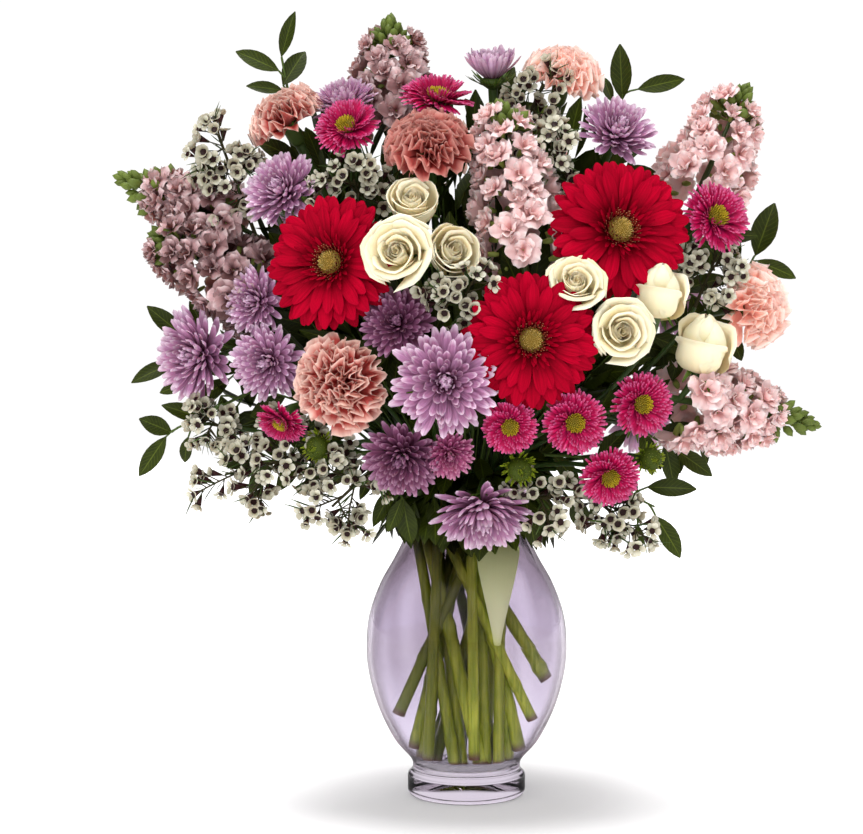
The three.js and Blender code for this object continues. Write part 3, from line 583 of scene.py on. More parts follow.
for i, (place, at, faces, width) in enumerate(GERBERAS):
    middle, facing, radius = seen_at(at), Vector(faces).normalized(), width / 2 * MM
    seed = 10 * i
    node = "gerbera_" + place
    rows = [whorl(shape, gerbera_red, *row, seed + k) for k, (shape, *row) in enumerate(GERBERA_ROWS)]
    head = placed(joined(node + "_petals", rows), middle, facing, radius)
    add_piece(node + "_petals", [head], node)
    florets = [
        whorl(floret_shapes, disc_gold, 130, (0.0, 0.13), (0.07, 0.055), (88, 66), (0.55, 0.9), ease=0.5, seed=seed),
        whorl(floret_shapes, ring_red, 120, (0.13, 0.23), (0.055, 0.03), (80, 46), (1.0, 1.3), ease=0.8, seed=seed + 1),
    ]
    bed = turned("bed", [(0, -0.02), (0.16, -0.02), (0.19, 0.02), (0.14, 0.06), (0.07, 0.07), (0, 0.07)], 24,
        disc_gold)
    disc = placed(joined(node + "_florets", [bed, *florets]), middle, facing, radius)
    add_piece("gerbera_disc_" + place + "_florets", [disc], "gerbera_disc_" + place)
    carried.append((middle + facing * GERBERA_BASE * radius, facing, GERBERA_CUP))

# Spray roses: small cream garden roses, some open and some still in bud. Broad waxy petals wrap a tight heart
# and roll back at their rims; each head sits on a green hip with five narrow sepals.

# Rose petal: matt waxy cream, yellower at its foot, partly its own colour and partly painted shade, with light soaking
# into it.
rose_cream = bloom_material("cream rose petal", "dcd69a f6ebcc f6eed6 f2e8c8 e2cc96", streaks=4.0, streak=0.12,
    gloss=0.5, glow=0.25, tone=0.04)


def wrap(line, span, spiral, droop, ripple, seed):
    """A petal wrapped round the upright axis with its middle towards +Y. Its middle line gives radius and height
    from foot to rim, and it spans an angle in degrees, with one edge further in than the other."""
    line = smoothed(line, 2)
    along = np.linspace(0, 1, len(line))
    u, v = np.meshgrid(np.linspace(-1, 1, 11), along)
    wave = ripple * v**2 * np.sin(2.6 * pi * u + seed)
    radius = line[:, :1] * (1 + spiral * u) + wave
    height = line[0, 1] + (line[:, 1:] - line[0, 1]) * (1 - droop * np.abs(u) ** 3) + wave
    angle = u * radians(span) / 2 * (0.4 + 0.6 * np.sqrt(v))
    return closed_blade(np.stack([radius * np.sin(angle), radius * np.cos(angle), height], axis=-1), u, v, 0.03)


ROSE_SHAPES = {  # middle line, span, its change, spiral, droop, ripple, seed
    "scroll": ([(0.05, 0.0), (0.2, 0.3), (0.28, 0.65), (0.27, 1.0)], 215, -30, 0.14, 0.12, 0.02, 20),
    "shell": ([(0.08, 0.0), (0.34, 0.25), (0.46, 0.6), (0.49, 0.9), (0.56, 1.0)], 165, -20, 0.1, 0.25, 0.02, 22),
    "guard": ([(0.1, 0.0), (0.46, 0.2), (0.68, 0.48), (0.84, 0.74), (0.97, 0.82), (1.04, 0.76)], 118, 14, 0.04, 0.3,
              0.03, 24),
    "cup": ([(0.15, 0.0), (0.6, 0.2), (0.86, 0.6), (0.9, 0.95), (0.96, 1.18), (1.0, 1.22)], 150, 14, 0.05, 0.28,
            0.02, 26),
    "bud_shell": ([(0.15, 0.0), (0.62, 0.3), (0.8, 0.85), (0.7, 1.35), (0.42, 1.75), (0.1, 1.94)], 176, 16, 0.12,
                  0.4, 0.02, 28),
    "bud_guard": ([(0.15, 0.0), (0.62, 0.25), (0.86, 0.75), (0.85, 1.15), (0.82, 1.45), (0.95, 1.6)], 140, 20, 0.06,
                  0.34, 0.03, 32),
}
rose_shapes = {}
for name, (line, span, more, spiral, droop, ripple, seed) in ROSE_SHAPES.items():
    two = [wrap(line, span + more * k, spiral, droop, ripple, seed + k) for k in (0, 1)]
    rose_shapes[name] = shapes("rose_" + name, two)
# Hips, sepals, bracts and calyxes: matt leaf green, finely ribbed.
sepal_green = bloom_material("green sepal", "8aa050 5f7f2c 4a6a24 6f8c3a 33491a", streaks=7.0, streak=0.35, glow=0.05,
    tone=0.15)
sepals = shapes("sepal", [petal(0.75, [0.07, 0.1, 0.09, 0.06, 0.02], 2, arch=-0.5, cup=0.4, seed=8)])

ROSES = [  # node, where it is seen, facing, width in mm, and how open it is
    ("rose_spray", (-38, -104, 424), (-0.05, -0.8, 0.55), 36, 0.5),
    ("rose_spray", (-50, -134, 388), (-0.25, -0.95, 0.2), 46, 1.0),
    ("rose_spray", (-9, -116, 388), (0.25, -0.95, 0.25), 36, 0.5),
    ("rose_inner", (78, -129, 367), (0.05, -0.85, 0.5), 40, 1.0),
    ("rose_bud", (137, -106, 360), (0.05, -0.4, 0.92), 38, 0.0),
    ("rose_open", (111, -131, 331), (0.15, -0.95, 0.1), 42, 1.0),
    ("rose_right", (168, -84, 323), (0.1, -0.45, 0.9), 43, 0.3),
    ("rose_back", (8, 108, 350), (0, 1, 0.1), 46, 1.0),
]
TWIG = 1.7  # the radius of a twig in mm
SPRAY_DEPTH = 26 * MM  # how far behind its blooms a spray divides
side_stalks = []  # the stalks inside a spray, as points

ROSE_ROWS = {  # for each openness up to a limit: shapes, their number, the rims' levels, height, size and start
    0.4: [
        ("bud_shell", 3, (1.0, 0.98), 1.94, (0.5, 0.62), 0), ("bud_shell", 3, (0.92, 0.82), 1.94, (0.74, 0.9), 1.0),
        ("bud_guard", 3, (0.62, 0.42), 1.6, (0.9, 0.98), 2.1),
    ],
    0.8: [
        ("scroll", 8, (0.28, 0.3), 1.0, (0.35, 1.35), 0), ("shell", 5, (0.36, 0.36), 1.0, (0.9, 1.35), 1.0),
        ("cup", 5, (0.3, 0.2), 1.22, (0.86, 1.0), 2.2),
    ],
    1.0: [
        ("scroll", 8, (0.1, 0.14), 1.0, (0.3, 1.15), 0), ("shell", 6, (0.2, 0.16), 1.0, (0.75, 1.25), 1.0),
        ("guard", 4, (0.1, 0.0), 0.8, (0.8, 0.9), 2.2), ("guard", 4, (-0.06, -0.1), 0.8, (0.98, 1.02), 0.6),
    ],
}


def rose_head(openness, seed):
    """Petals in a spiral round a tight heart, which a bud keeps wrapped and an open rose shows. The rims of a row
    stand at its levels, whatever their size."""
    rows = next(rows for limit, rows in ROSE_ROWS.items() if openness <= limit)
    head = []
    for k, (name, count, top, tall, size, start) in enumerate(rows):
        feet = [level - tall * share for level, share in zip(top, size)]
        head.append(whorl(rose_shapes[name], rose_cream, count, 0, feet, 0, size, start=start, uneven=0.045,
            seed=seed + k))
    return head


def add_blooms(blooms, head_of, cup, base, calyx_of):
    """Places the heads of one kind, each node's heads in one piece, and notes what their stems have to carry: a
    cup with a radius in mm, at a base given in radii of the head."""
    for node in dict.fromkeys(bloom[0] for bloom in blooms):
        heads, backs, facings = [], [], []
        for i, (name, at, faces, width, *rest) in enumerate(blooms):
            if name != node:
                continue
            middle, facing, radius = seen_at(at), Vector(faces).normalized(), width / 2 * MM
            heads.append(placed(joined(node, head_of(*rest, 100 + 7 * i)), middle, facing, radius))
            green_parts.append(placed(calyx_of(200 + i), middle, facing, radius))
            backs.append(middle + facing * base * radius)
            facings.append(facing)
        add_piece(node + "_petals", heads, node)
        if len(backs) == 1:
            carried.append((backs[0], facings[0], cup))
            continue
        outward = sum(facings, Vector()).normalized()
        joint = sum(backs, Vector()) / len(backs) - outward * SPRAY_DEPTH
        carried.append((joint, outward, TWIG))
        for back, facing in zip(backs, facings):
            side_stalks.append([joint, back - facing * SPRAY_DEPTH * 0.4, back + facing * 2 * MM])


def rose_calyx(seed):
    sides = [(0, -0.98), (0.12, -0.97), (0.2, -0.88), (0.25, -0.78), (0.2, -0.68), (0, -0.66)]
    hip = turned("hip", sides, 12, sepal_green)
    star = whorl(sepals, sepal_green, 5, 0.2, -0.76, -12, 1, 2 * pi / 5, uneven=0.3, seed=seed)
    return joined("rose_calyx", [hip, star])


add_blooms(ROSES, rose_head, cup=4.2, base=-0.85, calyx_of=rose_calyx)

# Asters: hot-pink heads of very many narrow ray petals in several rows, round a small domed eye of
# yellow-green florets.

# Ray petal: strong pink, paler at its tip, with painted shade of deep crimson where the rows overlap. Eye:
# yellow-green, golden tips.
aster_pink = bloom_material("aster ray petal", "84083c cc1058 e066a0 c03674 6e0634", streaks=2.0, streak=0.2, glow=0.1)
aster_eye = bloom_material("aster eye floret", "7c7418 ccb42c f0d850 a4982a 84781c", streaks=2.0, streak=0.1, glow=0.1)
rays = shapes("ray", [petal(0.74, [0.015, 0.032, 0.044, 0.05, 0.034], 2, arch=0.35 * k, curl=-0.3, cup=0.45, point=0.02,
    seed=40 + k) for k in (0, 1, 2)])
eye_florets = shapes("eye_floret", [petal(0.12, [0.016, 0.03, 0.012], 2, arch=0.2, thick=0.03, seed=44)])

ASTERS = [  # node, where it is seen, facing, width in mm
    ("aster_upper_left", (-85, -72, 476), (-0.25, -0.8, 0.5), 46),
    ("aster_top", (-21, -52, 497), (0.05, -0.5, 0.85), 52),
    ("aster_right", (177, -78, 412), (0.35, -0.85, 0.3), 50),
    ("aster_centre", (31, -132, 263), (0, -0.98, -0.15), 38),
    ("aster_middle", (77, -126, 266), (0.1, -0.97, -0.1), 44),
    ("aster_outer", (125, -108, 279), (0.25, -0.95, 0), 44),
    ("aster_lower", (102, -110, 227), (0.15, -0.95, -0.3), 42),
    ("aster_lower_left", (-132, -97, 266), (-0.35, -0.62, -0.7), 36),
    ("aster_back_high", (98, 52, 436), (0.35, 0.7, 0.6), 48),
    ("aster_back_low", (22, 96, 266), (0.1, 0.95, -0.3), 46),
]


def aster_head(seed):
    dome = [(0, -0.1), (0.2, -0.1), (0.27, 0.02), (0.21, 0.1), (0.1, 0.13), (0, 0.13)]
    cushion = turned("cushion", dome, 16, aster_eye)
    return [
        whorl(rays, aster_pink, 290, (0.25, 0.27), (0.06, -0.08), (72, -4), (0.4, 1.0), ease=0.58, uneven=0.06,
              seed=seed),
        whorl(eye_florets, aster_eye, 90, (0.01, 0.26), (0.13, 0.05), (88, 55), (0.8, 1.1), ease=0.5, seed=seed + 1),
        cushion,
    ]


bracts = shapes("bract", [petal(0.5, [0.03, 0.05, 0.04, 0.012], 2, arch=0.5, cup=0.3, seed=9)])


def bract_cup(seed):
    sides = [(0, -0.36), (0.12, -0.35), (0.26, -0.24), (0.32, -0.12), (0.22, -0.06), (0, -0.06)]
    bowl = turned("bowl", sides, 14, sepal_green)
    scales = whorl(bracts, sepal_green, 26, (0.1, 0.26), (-0.34, -0.2), (30, 12), 1, uneven=0.1, seed=seed)
    return joined("bract_cup", [bowl, scales])


add_blooms(ASTERS, aster_head, cup=4.0, base=-0.34, calyx_of=bract_cup)

# Chrysanthemums: lavender decorative heads. Spoon-shaped petals stand out flat at the rim, and each row
# inwards stands steeper, up to a plum heart, darkened by painted shade, where the youngest are still furled.

# Spoon petal: lavender with a nearly white tip and a plum root, deepened by painted shade at the root and in the heart;
# the small heads are pinker, and some plum.
mum_lavender = bloom_material("lavender chrysanthemum petal", "5c1c3c cc94bc fbe4f4 e2b8d6 5e1f40", tone=0.12)
mum_pink = bloom_material("pink chrysanthemum petal", "701844 bc5c8c e4a0c0 cc84a8 701a48", tone=0.12)
mum_plum = bloom_material("plum chrysanthemum petal", "4c1632 8f5478 c493b2 a8749a 4e1a38", glow=0.12, tone=0.14)
SPOON = [0.03, 0.05, 0.068, 0.082, 0.09, 0.082, 0.048]
spoons = shapes("spoon", [petal(0.9, SPOON, 2, arch=0.2 + 0.25 * k, curl=0.25, cup=0.5, point=0.03, ripple=0.12,
    seed=50 + k) for k in (0, 1, 2)])
furled = shapes("furled", [petal(0.7, [0.03, 0.05, 0.065, 0.07, 0.03], 2, arch=1.1, cup=1.0, seed=55)])

FLAT = -8  # degrees over level of the outermost petals of a full head
CHRYSANTHEMUMS = [  # node, where it is seen, facing, width in mm, colour, and how steep they are in a young head
    ("mum_spray_front", (-15, -138, 295), (0, -1, 0.02), 76, mum_lavender),
    ("mum_spray_front", (-49, -116, 337), (-0.15, -0.95, 0.25), 52, mum_plum),
    ("mum_spray_front", (-46, -114, 241), (-0.2, -0.9, -0.35), 58, mum_plum),
    ("mum_spray_front", (-12, -118, 243), (0.1, -0.95, -0.3), 36, mum_pink),
    ("mum_over_rim", (11, -86, 202), (0.05, -0.62, -0.78), 74, mum_lavender),
    ("mum_spray_left", (-192, -48, 314), (-0.6, -0.8, 0), 72, mum_lavender),
    ("mum_spray_left", (-141, -80, 309), (-0.3, -0.9, -0.1), 56, mum_lavender),
    ("mum_spray_left", (-150, -72, 352), (-0.5, -0.85, 0.1), 52, mum_lavender),
    ("mum_upper_left", (-131, -68, 431), (-0.4, -0.8, 0.4), 60, mum_lavender),
    ("mum_upper_right", (107, -60, 472), (0.25, -0.75, 0.6), 60, mum_lavender),
    ("mum_top", (18, -24, 512), (-0.05, -0.3, 0.95), 56, mum_lavender, 34),
    ("mum_top_left", (-87, -34, 493), (-0.2, -0.5, 0.85), 52, mum_lavender),
    ("mum_spray_back_left", (-112, 66, 416), (-0.4, 0.75, 0.45), 66, mum_lavender),
    ("mum_spray_back_left", (-142, 60, 350), (-0.6, 0.8, 0), 66, mum_lavender),
    ("mum_spray_back_left", (-90, 92, 352), (-0.25, 0.95, 0.1), 60, mum_pink),
    ("mum_spray_back_right", (94, 90, 318), (0.25, 0.95, 0), 66, mum_lavender),
    ("mum_spray_back_right", (144, 58, 350), (0.6, 0.75, 0.1), 62, mum_lavender),
    ("mum_spray_back_right", (124, 66, 270), (0.45, 0.85, -0.3), 58, mum_lavender),
]


def mum_head(colour, steep, seed):
    return [
        whorl(furled, colour, 30, (0.01, 0.1), (0.06, 0.04), (90, 70), (0.46, 0.66), uneven=0.14, seed=seed),
        whorl(spoons, colour, 136, (0.07, 0.14), (0.04, -0.1), (72, steep), (0.46, 0.98), ease=0.62, uneven=0.09,
              seed=seed + 1),
    ]


given = [(*row, FLAT)[:6] for row in CHRYSANTHEMUMS]
add_blooms(given, mum_head, cup=4.4, base=-0.34, calyx_of=bract_cup)

# Carnations: salmon-pink heads of fan-shaped petals, folded and frayed at the rim, packed into a long
# tubular green calyx.

# Carnation petal: matt and finely veined, with a frayed rim that is paler than its folds, where shade is painted.
carnation_salmon = bloom_material("salmon carnation petal", "8c2426 d0605a fcdccc dd8078 b03c3c", streaks=8.0,
    streak=0.22, gloss=0.6, tone=0.1, depth=0.05)
# A lighter copy of the salmon petal with a faint glow: painted light on heads that the lamps leave dim.
carnation_salmon_painted_lit = bloom_material("salmon carnation petal painted lighter", "e08a7c f7b8a8 fee8dc f8c4b6 e89a8c", streaks=8.0,
    streak=0.18, gloss=0.6, glow=0.3, tone=0.08, lit=0.09)
# A darker copy of the salmon petal: painted shade for a head that lies in shadow.
carnation_salmon_painted_shade = bloom_material("salmon carnation petal painted darker", "8c2424 c25c56 e4a498 c46a64 8c2c2c", streaks=8.0,
    streak=0.22, gloss=0.6, tone=0.08)
fans = shapes("fan", [petal(1.02, [0.05, 0.08, 0.17, 0.28, 0.36, 0.41, 0.43], 12, arch=0.15, curl=-0.2, cup=0.1,
    point=0.1, ripple=0.34 + 0.06 * k, waves=4 + k, fray=0.035, thick=0.014, seed=60 + k) for k in (0, 1, 2)])

CARNATIONS = [  # node, where it is seen, facing, width in mm, colour
    ("carnation_front", (-90, -112, 293), (-0.3, -0.95, -0.05), 60, carnation_salmon),
    ("carnation_upper", (-28, -84, 463), (-0.1, -0.7, 0.65), 56, carnation_salmon_painted_shade),
    ("carnation_top_left", (-129, -36, 482), (-0.45, -0.35, 0.8), 54, carnation_salmon),
    ("carnation_top_right", (68, -24, 512), (0.15, -0.5, 0.85), 56, carnation_salmon_painted_lit),
    ("carnation_right", (203, -42, 349), (0.7, -0.7, 0.1), 58, carnation_salmon_painted_lit),
    ("carnation_back_high", (-24, 58, 462), (0, 0.65, 0.75), 60, carnation_salmon_painted_lit),
    ("carnation_back_low", (-48, 92, 282), (-0.15, 0.95, -0.15), 60, carnation_salmon),
]


def carnation_head(colour, seed):
    return [
        whorl(fans, colour, 26, (0.02, 0.06), (-0.2, -0.24), (86, 42), (0.74, 0.94), ease=0.8, uneven=0.14, seed=seed),
        whorl(fans, colour, 20, (0.05, 0.08), (-0.22, -0.26), (38, 8), (0.96, 1.02), uneven=0.12, seed=seed + 1),
    ]


def carnation_calyx(seed):
    tube = [(0, -0.82), (0.14, -0.81), (0.19, -0.72), (0.21, -0.55), (0.21, -0.36), (0.24, -0.2), (0.16, -0.14)]
    body = turned("tube", [*tube, (0, -0.16)], 14, sepal_green)
    teeth = whorl(bracts, sepal_green, 6, 0.2, -0.34, 62, 0.7, 2 * pi / 6, seed=seed)
    scales = whorl(bracts, sepal_green, 4, 0.14, -0.8, 70, 0.6, pi / 2, seed=seed)
    return joined("carnation_calyx", [body, teeth, scales])


add_blooms(CARNATIONS, carnation_head, cup=4.6, base=-0.8, calyx_of=carnation_calyx)

# Stock: spikes of double florets like small ruffled roses round a thick stem, with green buds at the tip.
# Most are pale blossom pink, three towards the left dustier, up to a greyish mauve.

# Stock petal: thin and soft, pale at its rim; the duskier ones carry much darker painted shade in their folds and
# towards the stem.
stock_pink = bloom_material("blossom-pink stock petal", "d08a8c f9d8d6 fff0ec f4cccb dca4a2", streaks=5.0, streak=0.15,
    gloss=0.5, glow=0.2, tone=0.08)
stock_mauve = bloom_material("mauve stock petal", "784048 c8a0a2 e8cccb b48a8c 54302e", streaks=5.0, streak=0.2,
    gloss=0.5, tone=0.14, depth=0.85)
stock_dusty = bloom_material("dusty pink stock petal", "985c60 deb8b9 f4dedc c8a0a0 7c4c4c", streaks=5.0, streak=0.2,
    gloss=0.5, glow=0.18, tone=0.12, depth=0.7)
frills = shapes("frill", [petal(1.0, [0.08, 0.26, 0.44, 0.46, 0.3], 4, arch=0.35, curl=-0.8, cup=0.1, point=0.12,
    ripple=0.55, waves=3, fray=0.06, thick=0.03, seed=70 + k) for k in (0, 1, 2)])
# Stock bud: pale yellow-green, still closed, with a soft skin.
bud_green = bloom_material("green stock bud", "74863a a2ac58 d8cc9c 98a04c 5c6a2c", gloss=0.5, glow=0.05)

STOCKS = [  # node, its lowest floret, its tip, its width in mm, its colour, the share of it that is in bloom
    ("stock_left_high", (-160, -28, 404), (-250, -14, 442), 46, stock_dusty, 0.66),
    ("stock_left_low", (-140, -40, 352), (-224, -36, 402), 64, stock_mauve, 0.84),
    ("stock_top", (-52, -8, 474), (-55, -4, 553), 64, stock_dusty, 0.74),
    ("stock_front", (42, -96, 372), (22, -66, 496), 60, stock_pink, 0.86),
    ("stock_top_right", (160, -24, 420), (198, -14, 506), 66, stock_pink, 0.76),
    ("stock_right_low", (148, -62, 283), (252, -34, 264), 64, stock_pink, 0.64),
    ("stock_back", (40, 50, 396), (54, 58, 494), 56, stock_pink, 0.76),
]
FLORET = 13.0 * MM  # radius of an open floret
FLORET_SPACING = 2.8 * MM  # from one floret to the next along the spike
BUD = 4.7 * MM  # its radius is 0.6 of this
BUDS_A_SPIKE = 30
SPIKE_STEM = 2.4  # its radius in mm


def floret_of(colour, seed):
    """The petals of one double floret facing +Z, in units of its radius."""
    outer = whorl(frills, colour, 5, 0.05, -0.3, (24, 18), 0.98, 2 * pi / 5, seed=seed)
    inner = whorl(frills, colour, 5, (0.03, 0.04), (-0.25, -0.28), (66, 46), (0.75, 0.85), start=0.6, seed=seed + 1)
    return joined("floret", [outer, inner])


def floret_neck():
    neck = turned("neck", [(0, -0.9), (0.1, -0.88), (0.16, -0.6), (0.14, -0.3), (0, -0.25)], 6)
    mark(neck, "petal", [(0, 0.4, 1)] * len(neck.vertices))
    return neck


spike_stems = []  # the stem through each spike, as its two ends
for i, (node, low, high, width, colour, bloom) in enumerate(STOCKS):
    start, end = seen_at(low), seen_at(high)
    axis = end - start
    facing, length = axis.normalized(), axis.length
    # each floret is turned so that it faces out from the stem, which runs along +Z
    florets, necks = [], []
    for k in (0, 1, 2):
        for made, kept in ((floret_of(colour, 300 + 10 * i + k), florets), (floret_neck(), necks)):
            kept.append(placed(made, Vector((0, 0.9, 0)) * FLORET, Vector((0, 1, 0)), FLORET))
    reach = width / 2 * MM - FLORET * 1.05
    count = round(length / FLORET_SPACING)
    bloomed = ((reach, reach * 0.5), (0.05 * length, bloom * length), (0, 40), (1.12, 0.84))
    open_part, neck_part = (whorl(shapes(node, group), skin, count, *bloomed, uneven=0.24, seed=300 + i)
        for group, skin in ((florets, colour), (necks, bud_green)))
    bud = turned("bud", [(0, -1.9), (0.14, -1.8), (0.14, -0.1), (0.6, 0.5), (0.5, 1.4), (0, 2.0)], 6)
    buds = shapes(node + "_bud", [placed(bud, Vector((0, 0, 0)), Vector((0, 1, 0)), BUD)])
    still_green = ((11 * MM, 1 * MM), ((bloom - 0.06) * length, 0.93 * length), (15, 84), (1.35, 0.85))
    tip_part = whorl(buds, bud_green, BUDS_A_SPIKE, *still_green, uneven=0.2, seed=330 + i)
    spike = placed(joined(node + "_florets", [open_part, neck_part, tip_part]), start, facing)
    add_piece(node + "_florets", [spike], node)
    spike_stems.append([start - facing * 2 * MM, start + facing * 0.93 * length])
    carried.append((start, facing, SPIKE_STEM))

# Waxflower: wiry twigs that divide again and again, each end with a small white flower of five round petals
# set on a dark maroon cup. Needle-like leaves stand in pairs along them.

# Waxflower: an off-white petal, greyed as painted shade, with a slight shine, a shinier maroon cup, dull needles and
# olive-brown twigs.
wax_white = bloom_material("waxflower petal", "b0aa8c d8d3c0 e6e2d0 aaa48a 8c866c", streak=0.2, gloss=0.45, tone=0.15)
wax_cup = bloom_material("waxflower cup", "5f6a34 3c1e20 2a1414 3c2420 281210", streaks=6.0, gloss=0.35, glow=0.0)
needle_green = bloom_material("waxflower needle", "3d4f22 44592a 5c7038 3a4c24 222f14", streaks=2.0, streak=0.2,
    gloss=0.5, glow=0.0)
twig_bark = bloom_material("waxflower twig", "5a5030 5c5a34 5f6a3a 4c4a2c 34301c", streaks=4.0, streak=0.4, gloss=0.6,
    glow=0.0, tone=0.15)

# Shapes set out at sites of their own: each point of the start mesh says how its shape is turned and how
# large it is.
set_out_tree = new_tree("set_out", {"Shapes": "Collection", "Material": "Material"})
given = add("NodeGroupInput").outputs
turn_of = add("GeometryNodeInputNamedAttribute", {"Name": "turn"}, "FLOAT_VECTOR")
size_of = add("GeometryNodeInputNamedAttribute", {"Name": "size"}, "FLOAT_VECTOR")
rotation = add("FunctionNodeEulerToRotation", {"Euler": turn_of})
index = add("GeometryNodeInputIndex")
seats = add("GeometryNodeMeshToPoints", {"Mesh": given["Geometry"]})
deal_out(given, seats, index, rotation, size_of, 1.0, 5)


def set_out(group, material, sites):
    """Shapes at sites. A site is a point, the directions of the shape's +Y and of its face, and its size, with
    its breadth after that."""
    turns, sizes = [], []
    for _, along, face, size, *breadth in sites:
        y = Vector(along).normalized()
        z = (Vector(face) - Vector(face).dot(y) * y).normalized()
        turns.append(Matrix((y.cross(z), y, z)).transposed().to_euler())
        sizes.append((size * (breadth[0] if breadth else 1), size, size))
    points = made_mesh("sites", [site[0] for site in sites], [], False)
    mark(points, "turn", turns)
    mark(points, "size", sizes)
    return grown(set_out_tree, points, shapes=group, material=material)


# Round stalks along paths, with a thickness at each point.
stalks = new_tree("stalks", {"Sides": "Int", "Material": "Material"})
given = add("NodeGroupInput").outputs
paths = add("GeometryNodeMeshToCurve", {"Mesh": given["Geometry"]})
thick_of = add("GeometryNodeInputNamedAttribute", {"Name": "size"}, "FLOAT_VECTOR")
thick = add("SeparateXYZ", {"Vector": thick_of})
section = add("GeometryNodeCurvePrimitiveCircle", {"Resolution": given["Sides"], "Radius": 1.0})
skin = add("GeometryNodeCurveToMesh", {"Curve": paths, "Profile Curve": section, "Scale": thick.outputs["X"],
    "Fill Caps": True})
end_tree(given, skin)


def stalk_mesh(lines, material, sides=8, cut_ends=0, tones=()):
    """Stalks along lines of (point, radius), the radius in mm. Only the first few start with a cut end, and
    they can have their own tones, from 0 to 1."""
    points, edges, sizes, marks = [], [], [], []
    for k, line in enumerate(lines):
        first = len(points)
        gone, skipped = 0.0, 0.0 if k < cut_ends else 0.1
        for i, (point, radius) in enumerate(line):
            if i:
                gone += (Vector(point) - Vector(line[i - 1][0])).length
                edges.append((first + i - 1, first + i))
            points.append(tuple(point))
            sizes.append((radius * MM, 0, 0))
            marks.append((tones[k] if k < len(tones) else 0, gone + skipped, 1))
    mesh = bpy.data.meshes.new("lines")
    mesh.from_pydata(points, edges, [])
    mark(mesh, "size", sizes)
    mark(mesh, "petal", marks)
    made = grown(stalks, mesh, sides=sides, material=material)
    made.shade_smooth()
    return made


WAX_RADIUS = 5.8 * MM  # of a flower
WAX_PETAL = [0.12, 0.32, 0.42, 0.38, 0.18]
wax_flowers = []
for k in (0, 1):  # one open, one half open
    round_petal = petal(0.78, WAX_PETAL, 2, arch=0.5 + 0.4 * k, cup=0.35, thick=0.05, seed=80)
    five = shapes(f"wax_petal_{k}", [round_petal])
    wax_flowers.append(whorl(five, wax_white, 5, 0.3, 0, 8 + 22 * k, 1, 2 * pi / 5, seed=80 + k))
wax_petals = shapes("wax_petals", wax_flowers)
cup = turned("cup", [(0, -1.25), (0.12, -1.2), (0.26, -0.6), (0.42, -0.05), (0.36, 0.07), (0.24, 0.0), (0, 0.04)], 8)
mark(cup, "petal", [(0, min(1.0, (corner.co.z + 1.25) / 1.2), 1) for corner in cup.vertices])
wax_cups = shapes("wax_cups", [cup])
needles = shapes("needle", [petal(1.0, [0.02, 0.035, 0.03, 0.008], 2, arch=-0.3, cup=0.3, thick=0.03, seed=6)])

WAXFLOWERS = [  # node, its foot, its tip, how far its side twigs reach, how many it has
    ("waxflower_left_high", (-150, -36, 400), (-176, -44, 470), 23, 8),
    ("waxflower_left_low", (-78, -84, 252), (-172, -64, 229), 27, 13),
    ("waxflower_centre", (0, -104, 338), (-4, -128, 357), 24, 5),
    ("waxflower_upper", (-72, -62, 418), (-80, -78, 438), 22, 5),
    ("waxflower_right", (162, -50, 348), (178, -56, 386), 26, 7),
    ("waxflower_right_low", (92, -72, 212), (110, -84, 196), 20, 6),
    ("waxflower_front_low", (-64, -84, 236), (-96, -84, 206), 24, 6),
    ("waxflower_top", (36, -30, 466), (54, -38, 506), 22, 5),
    ("waxflower_high", (46, -60, 438), (58, -72, 456), 20, 4),
    ("waxflower_rim", (36, -70, 214), (60, -94, 212), 20, 4),
    ("waxflower_left_mid", (-163, -50, 262), (-190, -54, 266), 13, 4),
]
FLOWERS_A_TWIG = 8


def steady_random(seed):
    """The same run of numbers between 0 and 1 as the part's own source has."""
    state = seed
    while True:
        state = (state * 1664525 + 1013904223) % 4294967296
        yield state / 4294967296


for i, (node, low, high, spread, count) in enumerate(WAXFLOWERS):
    random = steady_random(200 + i)
    more = np.random.default_rng(200 + i)
    start, end = seen_at(low), seen_at(high)
    facing = (end - start).normalized()
    lines = [[(start.lerp(end, t), 1.5 - 0.6 * t) for t in (0, 0.25, 0.5, 0.75, 1)]]
    flowers, leaves = [], []
    for k in range(count):
        root = start.lerp(end, 0.15 + 0.72 * (k + 0.9) / count)
        out = Vector((cos(k * 2.4), -0.35, sin(k * 2.4))).normalized()
        tip = root + (out * (0.65 + 0.45 * next(random)) + facing * 0.35) * spread * MM
        bow = root.lerp(tip, 0.5) + facing * spread * 0.08 * MM
        lines.append([(root, 0.75), (bow, 0.65), (tip, 0.5)])
        way = (tip - root).normalized()
        for j in range(FLOWERS_A_TWIG):
            if j == 0:
                centre, look = tip, (way + Vector((0, -0.6, 0))).normalized()
            else:
                fork = root.lerp(tip, 0.2 + 0.7 * j / FLOWERS_A_TWIG)
                apart = way.cross(Vector(more.uniform(-1, 1, 3))).normalized() + way * 0.7
                centre = fork + apart.normalized() * (9 + 9 * more.random()) * MM
                look = (centre - fork + Vector((0, -0.008, 0))).normalized()
                lines.append([(fork, 0.5), (centre - look * WAX_RADIUS, 0.4)])
            flowers.append((centre, look.orthogonal(), look, WAX_RADIUS * (0.85 + 0.3 * more.random())))
        for t in (0.15, 0.35, 0.55, 0.75, 0.95):
            for side in (-1, 1):
                across = way.cross(Vector(more.uniform(-1, 1, 3))).normalized() * side
                leaves.append((root.lerp(tip, t), way + across * 0.8, across.cross(way),
                    (10 + 7 * more.random()) * MM))
    dressed = ((wax_petals, wax_white, flowers), (wax_cups, wax_cup, flowers), (needles, needle_green, leaves))
    parts = [stalk_mesh(lines, twig_bark, 5), *(set_out(*row) for row in dressed)]
    add_piece(node + "_sprays", parts, node)
    carried.append((start, facing, TWIG))

